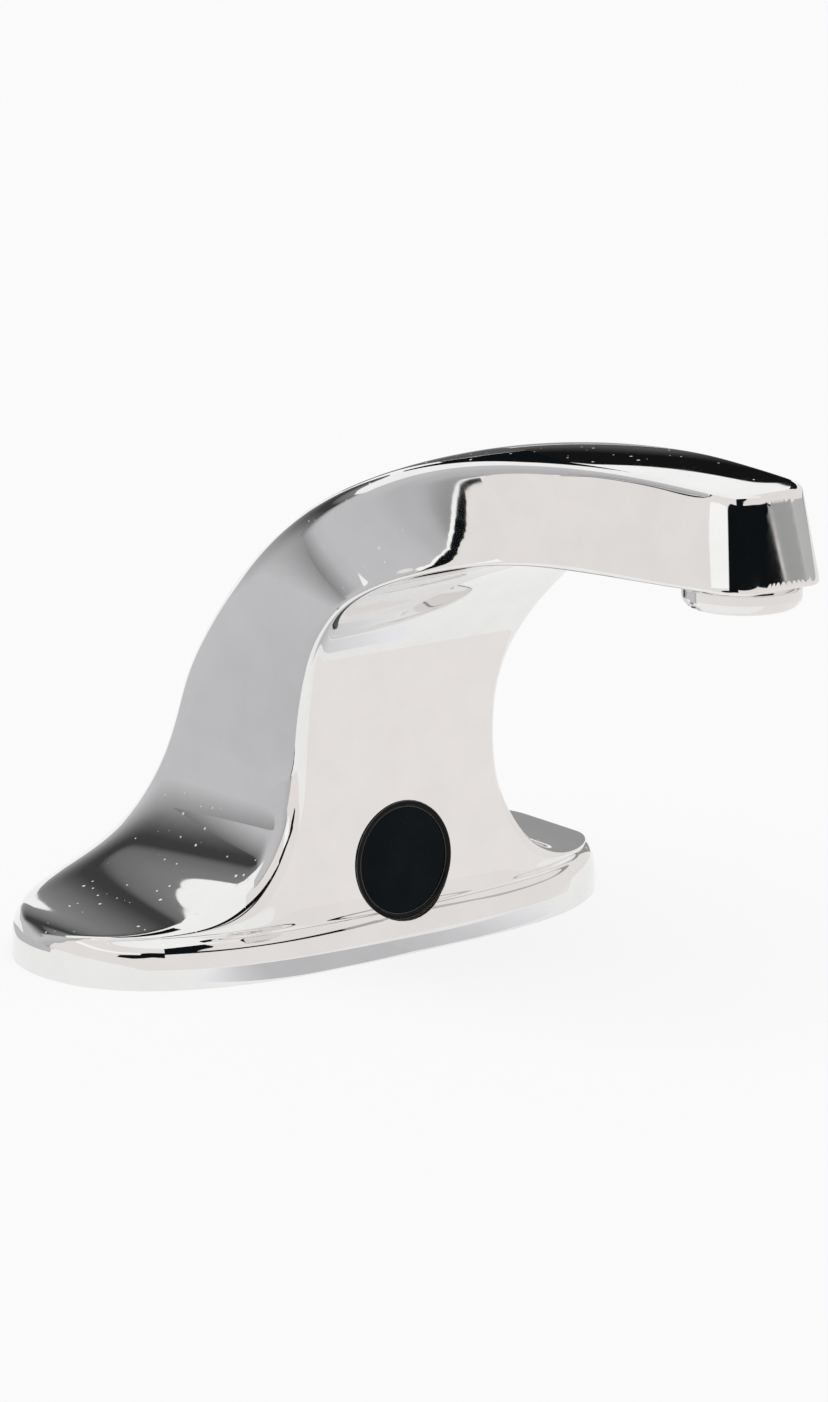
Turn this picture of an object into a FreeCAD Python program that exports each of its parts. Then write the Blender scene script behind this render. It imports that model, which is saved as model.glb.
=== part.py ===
"""Sensor basin tap for a 4 inch centreset deck: a cast body, its sensor, its waterway and its aerator.

Millimetres, +Z up. The origin is on the deck, midway between the two fixing holes. The user
stands on the -Y side, where the spout points. +X is the user's right.
"""
import FreeCAD, Part
from FreeCAD import Vector
import math
import os

# ---- body: footprint ----
BASE_WIDTH = 160.0
BASE_DEPTH = 79.4
BASE_END_POWER = 3.18        # how square the ends of the footprint are
BASE_SIDE_POWER = 0.47
RIM_HEIGHT = 4.8             # upright band round the foot
RIM_CREASE = 0.2             # how close the rows stand that mark its upper edge
WING_HEIGHT = 12.3           # top of the wings near their ends
WALL = 3.0                   # thickness of the casting

# ---- body: column and spout ----
COLUMN_WIDTH = 59.4
TIP_WIDTH = 29.0
FACE_SETBACK = 35.1          # the face of the column, forward of the origin
SPOUT_REACH = 153.0          # the outlet's axis, forward of the origin
SPOUT_NOSE = 14.2            # from the outlet's axis to the spout's front
OUTLET_HEIGHT = 108.2        # underside of the spout at the outlet
SPOUT_DEPTH = 23.2           # depth of the spout just behind its nose
TOP_FORWARD = 0.5            # how far forward the arm's upper side is drawn
NOSE_LEAN = 10.0             # degrees that the nose leans back
NOSE_ROUND = 8.5             # upright corners of the nose
NOSE_EDGE = 0.9              # its upper and lower edges
NOSE_TAPER = 2.4             # how much narrower the spout's half-width is at the top of the nose
NOSE_SILL = 0.5              # the nose's foot, above the outlet
NOSE_DROP = 2.0              # the nose's head, below the spout's top
NOSE_TURNS = (0, 18, 35, 50, 63, 74, 83, 90)

# ---- sensor ----
SENSOR_HEIGHT = 22.1
SENSOR_LEAN = 3.2            # degrees that the sensor looks upward
SENSOR_FACE_SETBACK = 36.2   # the body's surface at the middle of the sensor
BEZEL_RADIUS = 14.33
BEZEL_PROUD = 0.3
BEZEL_FACE = 1.6             # width of the bezel's ring round the window
BEZEL_BEVEL = 0.9
BEZEL_EDGE = 0.4             # broken outer edge
BEZEL_FLANGE = 2.3           # how far its flange stands out behind the wall
FLANGE_THICK = 1.2
FLANGE_ROOM = 0.6            # round the flange, in the wall's recess
SEAL_THICK = 1.0
WINDOW_THICK = 2.0
WINDOW_SUNK = 0.5
WINDOW_LEDGE = 1.2           # how far the bezel reaches in behind the window
HOUSING_DEPTH = 12.8
HOUSING_WALL = 1.5
BOARD_THICK = 1.6
CAP_THICK = 1.8
CAP_STEP = 1.0               # its plug, in from the housing's bore
CAP_WALL = 1.5
LED_RADIUS = 2.5
LED_SPACING = 10.0
LED_RIM = 0.4                # its rim stands out this far
LED_RIM_THICK = 1.0
LED_FLAT = 0.5               # the receiver's flat, in from its side
LAMP_RADIUS = 1.5
LAMP_HEIGHT = 3.0
GROMMET_RADIUS = 3.4
GROMMET_COLLAR = 1.2
GROMMET_BORE = 1.6
GROMMET_TAIL = 4.0
BRACKET_THICK = 1.5
BRACKET_WIDTH = 13.0
BRACKET_GAP = 1.3            # from the bezel's flange to a boss

# ---- fixings ----
STUD_SPACING = 101.6         # 4 inch centres
STUD_HOLE_RADIUS = 3.4       # tapped M8
STUD_HOLE_DEPTH = 10.0
STUD_BOSS_RADIUS = 7.0
DECK_GAP = 2.0               # the union stops this far above the deck
SCREW_RADIUS = 2.0
SCREW_HEAD_RADIUS = 3.5
SCREW_HEAD_THICK = 2.2
SCREW_BITE = 8.0
SCREW_BOSS_RADIUS = 3.6
SLOT_WIDTH = 1.0
SLOT_DEPTH = 1.2
GASKET_THICK = 2.0
GASKET_WIDTH = 7.0

# ---- waterway ----
INLET_SETBACK = 4.0          # the supply's axis, behind the origin
INLET_THREAD_RADIUS = 4.5    # tapped M10 x 1
INLET_THREAD_LENGTH = 9.0
INLET_HEX = 20.0             # across flats
HEX_HEIGHT = 8.0
NECK_RADIUS = 8.0
BRIDGE_THICK = 2.0
BRIDGE_WIDTH = 22.0
BRIDGE_SCREW_SPACING = 71.0
BRIDGE_BOSS_EXTRA = 0.6
BRIDGE_BOSS_LENGTH = 40.0    # up into the column's wall
LOCKNUT_HEX = 24.0
LOCKNUT_THICK = 5.0
TUBE_RADIUS = 5.0
TUBE_WALL = 0.8
TUBE_GRIP = 8.0              # how deep each end of the tube sits in its socket
TUBE_RISE = 62.0             # where the tube starts to lean forward
TUBE_LEAN_END = 14.5         # it leans up to this far below its level run
TUBE_BEND = 34.0
PORT_RADIUS = 3.0
ORING_THICK = 1.5

# ---- aerator, M24 x 1 ----
THREAD_RADIUS = 12.0
THREAD_LENGTH = 8.6
SEAT_RADIUS = 9.5
CHAMBER_HEIGHT = 6.2
COLLAR_RADIUS = 13.07
COLLAR_HEIGHT = 4.7
COLLAR_FOOT_RADIUS = 10.4
HOUSING_BORE = 10.2
HOUSING_LIP = 0.9
LIP_THICK = 1.2
COLLAR_EDGE = 0.3
COLLAR_ROOM = 0.6            # between the collar and its seat in the spout
CORE_WALL = 1.2
CORE_FLOOR = 2.4
CORE_HOLE_RADIUS = 0.8
CORE_RINGS = (0.0, 2.65, 5.3, 7.85)   # radii of the circles that its holes stand on
WASHER_THICK = 1.2
SCREEN_THICK = 0.6
REGULATOR_THICK = 2.2

# ---- clearances ----
RUNNING = 0.05               # shaft in hole
SLIP = 0.1                   # pieces assembled by hand
COLLAR_GAP = 0.35            # aerator collar to the spout

BASE_HALF_WIDTH = BASE_WIDTH / 2
BASE_HALF_DEPTH = BASE_DEPTH / 2
COLUMN_HALF = COLUMN_WIDTH / 2
TIP_HALF = TIP_WIDTH / 2
SPOUT_FRONT = SPOUT_REACH + SPOUT_NOSE
SPOUT_TOP = OUTLET_HEIGHT + SPOUT_DEPTH


def save(name, shapes):
    """Write one sub-part, which may be several equal solids."""
    shape = shapes if isinstance(shapes, Part.Shape) else Part.makeCompound(shapes)
    shape.exportStep(os.path.join("parts", name + ".step"))
    print(name, round(shape.Volume, 1), shape.isValid(), len(shape.Solids))


# ---------------------------------------------------------------- freeform body

def footprint_share(x):
    """The footprint's half-depth at x, as a share of its greatest."""
    out = min(1.0, abs(x) / BASE_HALF_WIDTH)
    return (1.0 - out ** BASE_END_POWER) ** BASE_SIDE_POWER


def mirrored(half):
    """A closed row from its right half, whose first and last points lie in the middle."""
    return half + [Vector(-p.x, p.y, p.z) for p in reversed(half[1:-1])]


def through(points):
    """Control points of the closed smooth curve that runs through the given points."""
    controls = list(points)
    count = len(points)
    for _ in range(40):
        for i in range(count):
            beside = controls[i - 1] + controls[(i + 1) % count]
            controls[i] = (points[i] * 6.0 - beside) * 0.25
    return controls


def oval_row(height, half_width, front, rear):
    """A level row of the foot, with the footprint's shape and its own half-depths."""
    shares = (0.0, 0.34, 0.64, 0.86, 0.955)
    half = []
    for share in shares:
        y = -front * footprint_share(share * BASE_HALF_WIDTH)
        half.append(Vector(half_width * share, y, height))
    for lean in (-0.24, -0.08, 0.08, 0.24):
        share = (1.0 - abs(lean) ** (1.0 / BASE_SIDE_POWER)) ** (1.0 / BASE_END_POWER)
        half.append(Vector(half_width * share, lean * (front if lean < 0 else rear), height))
    for share in reversed(shares):
        y = rear * footprint_share(share * BASE_HALF_WIDTH)
        half.append(Vector(half_width * share, y, height))
    return through(mirrored(half))


def box_row(station, wall=0.0, drop=0.0):
    """One cross-section of the column or spout: four sides with rounded corners.

    A station gives the middle of the under and over sides as (y, z), the half-widths there,
    how far each pair of corners reaches across and along, how closely the two sides follow
    the footprint's bow, the crown of the over side, and its tilt."""
    under, over, halves, under_corner, over_corner, bows, crown, tilt = station
    start = Vector(0, under[0], under[1] - drop)
    across = Vector(0, over[0], over[1] - drop) - start
    depth = across.Length - 2 * wall
    across.normalize()
    start = start + across * wall
    half_under = halves[0] - wall
    half_over = halves[1] - wall

    def bow_under(x):
        return bows[0] * abs(under[0]) * (1.0 - footprint_share(x))

    def bow_over(x):
        return bows[1] * abs(over[0]) * (1.0 - footprint_share(x)) + crown * (x / half_over) ** 2

    def width(along):
        return half_under + (half_over - half_under) * along / depth

    def at(x, along):
        point = start + across * along
        return Vector(x, point.y, point.z + tilt * point.y)

    low = bow_under(half_under)
    high = depth - bow_over(half_over)
    low_side = low + under_corner[1]
    high_side = high - over_corner[1]
    flat_under = half_under - under_corner[0]
    flat_over = half_over - over_corner[0]
    half = [at(share * flat_under, bow_under(share * flat_under)) for share in (0.0, 0.4, 0.75, 1.0)]
    half.append(at(width(low), low))
    for share in (0.0, 1.0 / 3.0, 2.0 / 3.0, 1.0):
        along = low_side + (high_side - low_side) * share
        half.append(at(width(along), along))
    half.append(at(width(high), high))
    for share in (1.0, 0.75, 0.4, 0.0):
        half.append(at(share * flat_over, depth - bow_over(share * flat_over)))
    return mirrored(half)


def foot_rows(wall=0.0):
    """The upright rim, its crease in front, and the rounding over to the wings' tops."""
    rise = WING_HEIGHT - RIM_HEIGHT
    # height, then how far the row draws in at its ends, in front and behind
    levels = (
        (0.0, 0.0, 0.0, 0.0),
        (RIM_HEIGHT * 0.5, 0.0, 0.0, 0.0),
        (RIM_HEIGHT - RIM_CREASE, 0.0, 0.0, 0.0),
        (RIM_HEIGHT, 0.0, 0.0, 0.0),
        (RIM_HEIGHT + RIM_CREASE, 0.0, 0.05, 0.0),
        (RIM_HEIGHT + rise * 0.28, 0.05, 0.55, 0.05),
        (RIM_HEIGHT + rise * 0.60, 0.5, 1.15, 0.5),
    )
    rows = []
    for height, ends, front, rear in levels:
        if wall and height > 0:
            height = height - wall
        rows.append((height, BASE_HALF_WIDTH - ends - wall,
                     BASE_HALF_DEPTH - front - wall, BASE_HALF_DEPTH - rear - wall))
    return rows


def wing_stations():
    """Level stations from the wings' tops up into the column; the last value is their tilt."""
    tilt = 0.03
    low = WING_HEIGHT
    bell = BASE_HALF_WIDTH - COLUMN_HALF
    face = FACE_SETBACK
    back = BASE_HALF_DEPTH
    # height above the wings' tops, face and back setback, half-width, corner reaches
    levels = (
        (-1.1, 3.1, 1.2, 0.961, (12, 5), (12, 5), tilt * 0.53),
        (-0.4, 2.9, 1.6, 0.901, (18, 5), (18, 5), tilt * 0.73),
        (0.0, 2.7, 1.9, 0.811, (24, 6), (24, 6), tilt * 0.83),
        (0.7, 2.4, 2.1, 0.672, (26, 7), (26, 7), tilt * 0.97),
        (1.9, 2.1, 2.4, 0.533, (22, 7), (24, 9), tilt),
        (4.0, 1.7, 3.1, 0.402, (17, 7), (22, 13), tilt),
        (7.0, 1.3, 4.4, 0.282, (12, 6.5), (22, 16), tilt * 0.7),
        (11.3, 1.0, 6.2, 0.187, (9, 6.5), (22, 18), tilt * 0.3),
        (16.7, 0.6, 8.6, 0.105, (7, 6), (22, 20), 0.0),
    )
    stations = []
    for height, front, rear, share, near, far, lean in levels:
        half = COLUMN_HALF + bell * share
        z = low + height
        stations.append(((-face - front, z), (back - rear, z), (half, half + 0.2 * (share < 0.5)),
                         near, far, (1, 1), 0, lean))
    return stations


def arm_stations():
    """Stations that turn from the level column to the upright spout."""
    column = COLUMN_HALF
    tip = TIP_HALF
    # The under side: how far forward of the face, and how high, as shares of the spout.
    length = SPOUT_FRONT - FACE_SETBACK
    height = OUTLET_HEIGHT

    def under(forward, up):
        return (-FACE_SETBACK - forward * length, up * height)

    def over(forward, up):
        return (-FACE_SETBACK - forward * length - TOP_FORWARD, up * SPOUT_TOP)

    def half(share):
        return tip + (column - tip) * share

    # under and over side, half-width shares (0 at the tip, 1 at the column), corners, bows, crown
    table = (
        ((0.002, 0.333), (-0.481, 0.282), (1.12, 1.12), (6, 5.5), (22, 21), (0.8, 1), 0),
        ((0.000, 0.407), (-0.455, 0.346), (1.02, 1.02), (5, 5), (22, 21), (0.5, 1), 0),
        ((0.000, 0.481), (-0.430, 0.411), (0.99, 0.99), (4.5, 4.5), (22, 20), (0.2, 1), 0),
        ((0.006, 0.555), (-0.404, 0.475), (1.00, 0.98), (4.5, 4.5), (22, 19), (0, 1), 0),
        ((0.022, 0.628), (-0.369, 0.537), (1.05, 0.97), (4, 4), (21, 18), (0, 1), 1),
        ((0.054, 0.702), (-0.320, 0.600), (1.15, 0.95), (4, 4), (20, 16), (0, 1), 1.5),
        ((0.098, 0.771), (-0.261, 0.665), (1.25, 0.94), (3.5, 3.5), (19, 14), (0, 1), 2),
        ((0.151, 0.832), (-0.195, 0.731), (1.30, 0.91), (3, 3), (18, 12), (0, 0), 2.5),
        ((0.211, 0.882), (-0.117, 0.796), (1.22, 0.87), (2.5, 2.5), (16, 10), (0, 0), 3),
        ((0.275, 0.919), (-0.027, 0.855), (1.01, 0.81), (2.2, 2.2), (14, 9), (0, 0), 3),
        ((0.340, 0.945), (0.080, 0.905), (0.68, 0.69), (2, 2), (11, 7), (0, 0), 3),
        ((0.408, 0.963), (0.196, 0.944), (0.39, 0.51), (1.8, 1.8), (8, 5), (0, 0), 2.5),
        ((0.484, 0.976), (0.317, 0.971), (0.22, 0.32), (1.6, 1.6), (5, 4), (0, 0), 2),
        ((0.567, 0.984), (0.438, 0.987), (0.15, 0.22), (1.5, 1.5), (4, 3), (0, 0), 1.6),
        ((0.658, 0.990), (0.559, 0.996), (0.11, 0.15), (1.5, 1.5), (3, 2.4), (0, 0), 1.2),
        ((0.749, 0.994), (0.680, 1.001), (0.07, 0.05), (1.5, 1.5), (2.5, 2), (0, 0), 0.9),
        ((0.847, 0.998), (0.802, 0.9985), (0.03, -0.08), (1.5, 1.5), (2.2, 2), (0, 0), 0.8),
    )
    stations = []
    for low, high, halves, near, far, bows, crown in table:
        stations.append((under(*low), over(*high), (half(halves[0]), half(halves[1])),
                         near, far, bows, crown, 0))
    return stations


def nose_stations():
    """Stations that round the spout's sides into its leaning front."""
    foot = Vector(0, -SPOUT_FRONT, OUTLET_HEIGHT + NOSE_SILL)
    head = Vector(0, 0, SPOUT_TOP - NOSE_DROP)
    head.y = foot.y + (head.z - foot.z) * math.tan(math.radians(NOSE_LEAN))
    up = (head - foot).normalize()
    stations = []
    for turn in NOSE_TURNS:
        behind = NOSE_ROUND * (1.0 - math.sin(math.radians(turn)))
        inset = NOSE_ROUND * (1.0 - math.cos(math.radians(turn)))
        short = max(0.0, NOSE_EDGE - behind)
        eased = NOSE_EDGE - math.sqrt(NOSE_EDGE ** 2 - short ** 2)
        low = foot + Vector(0, behind, 0) + up * eased
        high = head + Vector(0, behind, behind * 0.1) - up * eased
        halves = (TIP_HALF - inset, TIP_HALF - NOSE_TAPER - inset)
        stations.append(((low.y, low.z), (high.y, high.z), halves, (1.5, 1.5), (2, 2), (0, 0), 0.3, 0))
    return stations


def net_solid(rows):
    """The closed solid of a smooth surface drawn by rows of control points, capped at both ends."""
    count = len(rows)
    around = len(rows[0])
    surface = Part.BSplineSurface()
    surface.buildFromPolesMultsKnots(
        rows, [4] + [1] * (count - 4) + [4], [1] * (around + 1),
        [float(i) for i in range(count - 2)], [float(i) for i in range(around + 1)],
        False, True, 3, 3)
    skin = surface.toShape()
    ends = [Part.Face(Part.Wire([edge])) for edge in skin.Edges if edge.isClosed()]
    shell = Part.Shell([skin] + ends)
    shell.sewShape()
    solid = Part.Solid(shell)
    if solid.Volume < 0:
        solid.reverse()
    return solid


def body_outside():
    rows = [oval_row(*row) for row in foot_rows()]
    rows += [box_row(station) for station in wing_stations() + arm_stations() + nose_stations()]
    return net_solid(rows)


def body_hollow(last):
    """The space inside the casting, one wall in from its surface, up to arm station `last`."""
    rows = [oval_row(*row) for row in foot_rows(WALL)]
    rows[0] = [Vector(p.x, p.y, -WALL) for p in rows[0]]
    for station in wing_stations():
        rows.append(box_row(station, WALL, WALL))
    for index, station in enumerate(arm_stations()[:last]):
        fade = max(0.0, 1.0 - index / 4.0)
        rows.append(box_row(station, WALL, WALL * fade))
    return net_solid(rows)


# ---------------------------------------------------------------- helpers for turned pieces

def disc(radius, low, high, x=0.0, y=0.0):
    return Part.makeCylinder(radius, high - low, Vector(x, y, low))


def ring(outer, inner, low, high, x=0.0, y=0.0):
    return disc(outer, low, high, x, y).cut(disc(inner, low - 1, high + 1, x, y))


def hexagon(flats, low, high, x=0.0, y=0.0):
    corner = flats / math.sqrt(3.0)
    points = [Vector(x + corner * math.cos(math.radians(a)), y + corner * math.sin(math.radians(a)), low)
              for a in range(0, 361, 60)]
    return Part.Face(Part.makePolygon(points)).extrude(Vector(0, 0, high - low))


def block(low, high):
    size = Vector(*high) - Vector(*low)
    return Part.makeBox(size.x, size.y, size.z, Vector(*low))


def turned(outline, x=0.0, y=0.0):
    """A solid of revolution about an upright axis, from (radius, height) points."""
    points = [Vector(r, 0, z) for r, z in outline]
    face = Part.Face(Part.makePolygon(points + points[:1]))
    solid = face.revolve(Vector(0, 0, 0), Vector(0, 0, 1), 360)
    solid.translate(Vector(x, y, 0))
    return solid


def to_sensor(shape):
    """From an upright frame, whose +Z runs into the body from its surface, to the sensor's axis."""
    placed = shape.copy()
    placed.rotate(Vector(0, 0, 0), Vector(1, 0, 0), -90 - SENSOR_LEAN)
    placed.translate(Vector(0, -SENSOR_FACE_SETBACK, SENSOR_HEIGHT))
    return placed


# ---------------------------------------------------------------- depths along the sensor's axis

BEZEL_HOLE = BEZEL_RADIUS + RUNNING
FLANGE_RADIUS = BEZEL_RADIUS + BEZEL_FLANGE
SEAL_BACK = WALL + SEAL_THICK
FLANGE_BACK = SEAL_BACK + FLANGE_THICK
WINDOW_RADIUS = BEZEL_RADIUS - BEZEL_FACE
WINDOW_FRONT = WINDOW_SUNK - BEZEL_PROUD
WINDOW_BACK = WINDOW_FRONT + WINDOW_THICK
LEDGE_RADIUS = WINDOW_RADIUS - WINDOW_LEDGE
HOUSING_BACK = FLANGE_BACK + HOUSING_DEPTH
HOUSING_RADIUS = LEDGE_RADIUS + HOUSING_WALL
HOUSING_INSIDE = HOUSING_RADIUS - HOUSING_WALL
BOARD_FRONT = FLANGE_BACK + HOUSING_DEPTH * 0.53
BOARD_BACK = BOARD_FRONT + BOARD_THICK
CAP_BACK = HOUSING_BACK + CAP_THICK
CAP_PLUG = HOUSING_INSIDE - CAP_STEP
CAP_SEAL_THICK = 1.0
BRACKET_BACK = CAP_BACK + BRACKET_THICK
BRACKET_SCREW_X = FLANGE_RADIUS + SCREW_BOSS_RADIUS + BRACKET_GAP
SPOTFACE_RADIUS = FLANGE_RADIUS + FLANGE_ROOM
ROOM_BEHIND = CAP_BACK - WALL


# ---------------------------------------------------------------- heights of the waterway

HEX_TOP = DECK_GAP + HEX_HEIGHT
BRIDGE_TOP = HEX_TOP + BRIDGE_THICK
LOCKNUT_TOP = BRIDGE_TOP + LOCKNUT_THICK
NECK_TOP = LOCKNUT_TOP + TUBE_GRIP
SOCKET_FLOOR = NECK_TOP - TUBE_GRIP
INLET_Y = INLET_SETBACK
THREAD_TOP = OUTLET_HEIGHT + THREAD_LENGTH + WASHER_THICK
CHAMBER_TOP = THREAD_TOP + CHAMBER_HEIGHT
TUBE_HEIGHT = CHAMBER_TOP - CHAMBER_HEIGHT / 2
OUTLET_Y = -SPOUT_REACH
SOCKET_END_Y = OUTLET_Y + THREAD_RADIUS
SOCKET_START_Y = SOCKET_END_Y + TUBE_GRIP + 1.0
SOCKET_RADIUS = TUBE_RADIUS + RUNNING
GROOVE_RADIUS = TUBE_RADIUS + ORING_THICK
GROOVE_WIDTH = ORING_THICK * 1.3
HOLLOW_STATIONS = 17         # the hollow ends with this station of the arm


# ---------------------------------------------------------------- body

def stud_boss(side):
    return disc(STUD_BOSS_RADIUS, 0, WING_HEIGHT, side * STUD_SPACING / 2)


def bridge_boss(side):
    x = side * BRIDGE_SCREW_SPACING / 2
    return disc(SCREW_BOSS_RADIUS + BRIDGE_BOSS_EXTRA, BRIDGE_TOP, BRIDGE_TOP + BRIDGE_BOSS_LENGTH, x, INLET_Y)


def bracket_boss(side):
    return to_sensor(disc(SCREW_BOSS_RADIUS, WALL * 0.5, CAP_BACK, side * BRACKET_SCREW_X))


def tap_body():
    outside = body_outside()
    hollow = body_hollow(HOLLOW_STATIONS)
    end_wall = block((-COLUMN_WIDTH, -SPOUT_FRONT * 1.5, 0), (COLUMN_WIDTH, SOCKET_START_Y, SPOUT_TOP * 1.5))
    hollow = hollow.cut(end_wall)
    shell = outside.cut(hollow)
    bosses = [bracket_boss(side) for side in (-1, 1)]
    bosses += [stud_boss(side) for side in (-1, 1)]
    bosses += [bridge_boss(side) for side in (-1, 1)]
    shell = shell.fuse([boss.common(outside) for boss in bosses])
    cuts = []
    for side in (-1, 1):
        cuts.append(disc(STUD_HOLE_RADIUS, -1, STUD_HOLE_DEPTH, side * STUD_SPACING / 2))
        cuts.append(disc(SCREW_RADIUS + RUNNING, BRIDGE_TOP - 1, BRIDGE_TOP + SCREW_BITE + 1,
                         side * BRIDGE_SCREW_SPACING / 2, INLET_Y))
        cuts.append(to_sensor(disc(SCREW_RADIUS + RUNNING, CAP_BACK - SCREW_BITE - 1, CAP_BACK + 1,
                                   side * BRACKET_SCREW_X)))
    cuts.append(to_sensor(disc(BEZEL_HOLE, -5, WALL + 5)))
    cuts.append(to_sensor(disc(SPOTFACE_RADIUS, WALL, WALL + ROOM_BEHIND)))
    cuts.append(disc(THREAD_RADIUS, OUTLET_HEIGHT - 5, THREAD_TOP, 0, OUTLET_Y))
    cuts.append(disc(SEAT_RADIUS, THREAD_TOP - 1, CHAMBER_TOP, 0, OUTLET_Y))
    cuts.append(disc(COLLAR_RADIUS + COLLAR_ROOM, OUTLET_HEIGHT - 5, OUTLET_HEIGHT, 0, OUTLET_Y))
    forward = Vector(0, -1, 0)
    cuts.append(Part.makeCylinder(SOCKET_RADIUS, SOCKET_START_Y - SOCKET_END_Y + 1,
                                  Vector(0, SOCKET_START_Y + 1, TUBE_HEIGHT), forward))
    cuts.append(Part.makeCylinder(PORT_RADIUS, SOCKET_START_Y - OUTLET_Y,
                                  Vector(0, SOCKET_START_Y, TUBE_HEIGHT), forward))
    cuts.append(Part.makeCylinder(GROOVE_RADIUS, GROOVE_WIDTH,
                                  Vector(0, outlet_groove_y() + GROOVE_WIDTH / 2, TUBE_HEIGHT), forward))
    return shell.cut(cuts)


def outlet_groove_y():
    return (SOCKET_START_Y + SOCKET_END_Y) / 2


def gasket_outline(inset):
    row = oval_row(0.0, BASE_HALF_WIDTH - inset, BASE_HALF_DEPTH - inset, BASE_HALF_DEPTH - inset)
    curve = Part.BSplineCurve()
    count = len(row)
    curve.buildFromPolesMultsKnots(row, [1] * (count + 1), [float(i) for i in range(count + 1)], True, 3)
    return Part.Face(Part.Wire([curve.toShape()]))


def deck_gasket():
    """A flat rubber ring that lies inside the foot's rim, flush with it."""
    outer = gasket_outline(WALL + SLIP * 3).extrude(Vector(0, 0, GASKET_THICK))
    inner = gasket_outline(WALL + GASKET_WIDTH).extrude(Vector(0, 0, GASKET_THICK + 2))
    inner.translate(Vector(0, 0, -1))
    return outer.cut(inner)


# ---------------------------------------------------------------- sensor

def sensor_bezel():
    low = -BEZEL_PROUD
    bevel = BEZEL_BEVEL
    outline = [
        (WINDOW_RADIUS + SLIP, low + bevel * 0.4),
        (WINDOW_RADIUS + SLIP + bevel * 0.5, low),
        (BEZEL_RADIUS - BEZEL_EDGE, low),
        (BEZEL_RADIUS, low + BEZEL_EDGE),
        (BEZEL_RADIUS, SEAL_BACK),
        (FLANGE_RADIUS, SEAL_BACK),
        (FLANGE_RADIUS, FLANGE_BACK),
        (LEDGE_RADIUS, FLANGE_BACK),
        (LEDGE_RADIUS, WINDOW_BACK),
        (WINDOW_RADIUS + SLIP, WINDOW_BACK),
    ]
    return to_sensor(turned(outline))


def bezel_seal():
    return to_sensor(ring(FLANGE_RADIUS, BEZEL_RADIUS + SLIP, WALL, SEAL_BACK))


def sensor_window():
    return to_sensor(disc(WINDOW_RADIUS, WINDOW_FRONT, WINDOW_BACK))


def sensor_housing():
    outline = [
        (HOUSING_INSIDE, FLANGE_BACK),
        (FLANGE_RADIUS, FLANGE_BACK),
        (FLANGE_RADIUS, FLANGE_BACK + FLANGE_THICK),
        (HOUSING_RADIUS, FLANGE_BACK + FLANGE_THICK),
        (HOUSING_RADIUS, HOUSING_BACK),
        (CAP_PLUG + SLIP, HOUSING_BACK),
        (CAP_PLUG + SLIP, BOARD_BACK),
        (HOUSING_INSIDE, BOARD_BACK),
    ]
    groove = ring(CAP_PLUG + CAP_SEAL_THICK, CAP_PLUG - 1, HOUSING_BACK - CAP_SEAL_THICK, HOUSING_BACK + 1)
    return to_sensor(turned(outline).cut(groove))


def cap_seal():
    return to_sensor(ring(CAP_PLUG + CAP_SEAL_THICK - SLIP / 2, CAP_PLUG + SLIP / 2,
                          HOUSING_BACK - CAP_SEAL_THICK, HOUSING_BACK))


def sensor_board():
    return to_sensor(disc(HOUSING_INSIDE - SLIP, BOARD_FRONT, BOARD_BACK))


def optic_shield():
    """The light-tight block round the diodes, between the window's ledge and the board."""
    block_shape = disc(HOUSING_INSIDE - SLIP, FLANGE_BACK, BOARD_FRONT)
    for side in (-1, 1):
        x = side * LED_SPACING / 2
        block_shape = block_shape.cut(disc(LED_RADIUS + SLIP, FLANGE_BACK - 1, BOARD_FRONT + 1, x))
        rim_low = BOARD_FRONT - LED_RIM_THICK - SLIP * 2
        block_shape = block_shape.cut(disc(LED_RADIUS + LED_RIM + SLIP, rim_low, BOARD_FRONT + 1, x))
    lamp_hole = disc(LAMP_RADIUS + SLIP, FLANGE_BACK - 1, BOARD_FRONT + 1, 0, LED_SPACING / 2)
    return to_sensor(block_shape.cut(lamp_hole))


def diode(side):
    """A domed diode that stands on the board and looks out through the window."""
    x = side * LED_SPACING / 2
    foot = disc(LED_RADIUS + LED_RIM, BOARD_FRONT - LED_RIM_THICK, BOARD_FRONT, x)
    length = BOARD_FRONT - FLANGE_BACK - LED_RADIUS - LED_RIM
    barrel = disc(LED_RADIUS, BOARD_FRONT - length, BOARD_FRONT - LED_RIM_THICK, x)
    dome = Part.makeSphere(LED_RADIUS, Vector(x, 0, BOARD_FRONT - length))
    return foot.fuse([barrel, dome]).removeSplitter()


def ir_emitter():
    return to_sensor(diode(-1))


def ir_receiver():
    x = LED_SPACING / 2
    flat = block((x - 2 * LED_RADIUS, LED_RADIUS - LED_FLAT, 0),
                 (x + 2 * LED_RADIUS, LED_RADIUS * 2, BOARD_FRONT - LED_RIM_THICK))
    return to_sensor(diode(1).cut(flat))


def status_lamp():
    return to_sensor(disc(LAMP_RADIUS, BOARD_FRONT - LAMP_HEIGHT, BOARD_FRONT, 0, LED_SPACING / 2))


def sensor_back_cap():
    cap = disc(HOUSING_RADIUS, HOUSING_BACK, CAP_BACK)
    plug = disc(CAP_PLUG, BOARD_BACK + 0.5, HOUSING_BACK)
    pocket = disc(CAP_PLUG - CAP_WALL, BOARD_BACK, HOUSING_BACK)
    cable_hole = disc(GROMMET_RADIUS + RUNNING, BOARD_BACK, CAP_BACK + 1)
    return to_sensor(cap.fuse(plug).cut([pocket, cable_hole]).removeSplitter())


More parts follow.
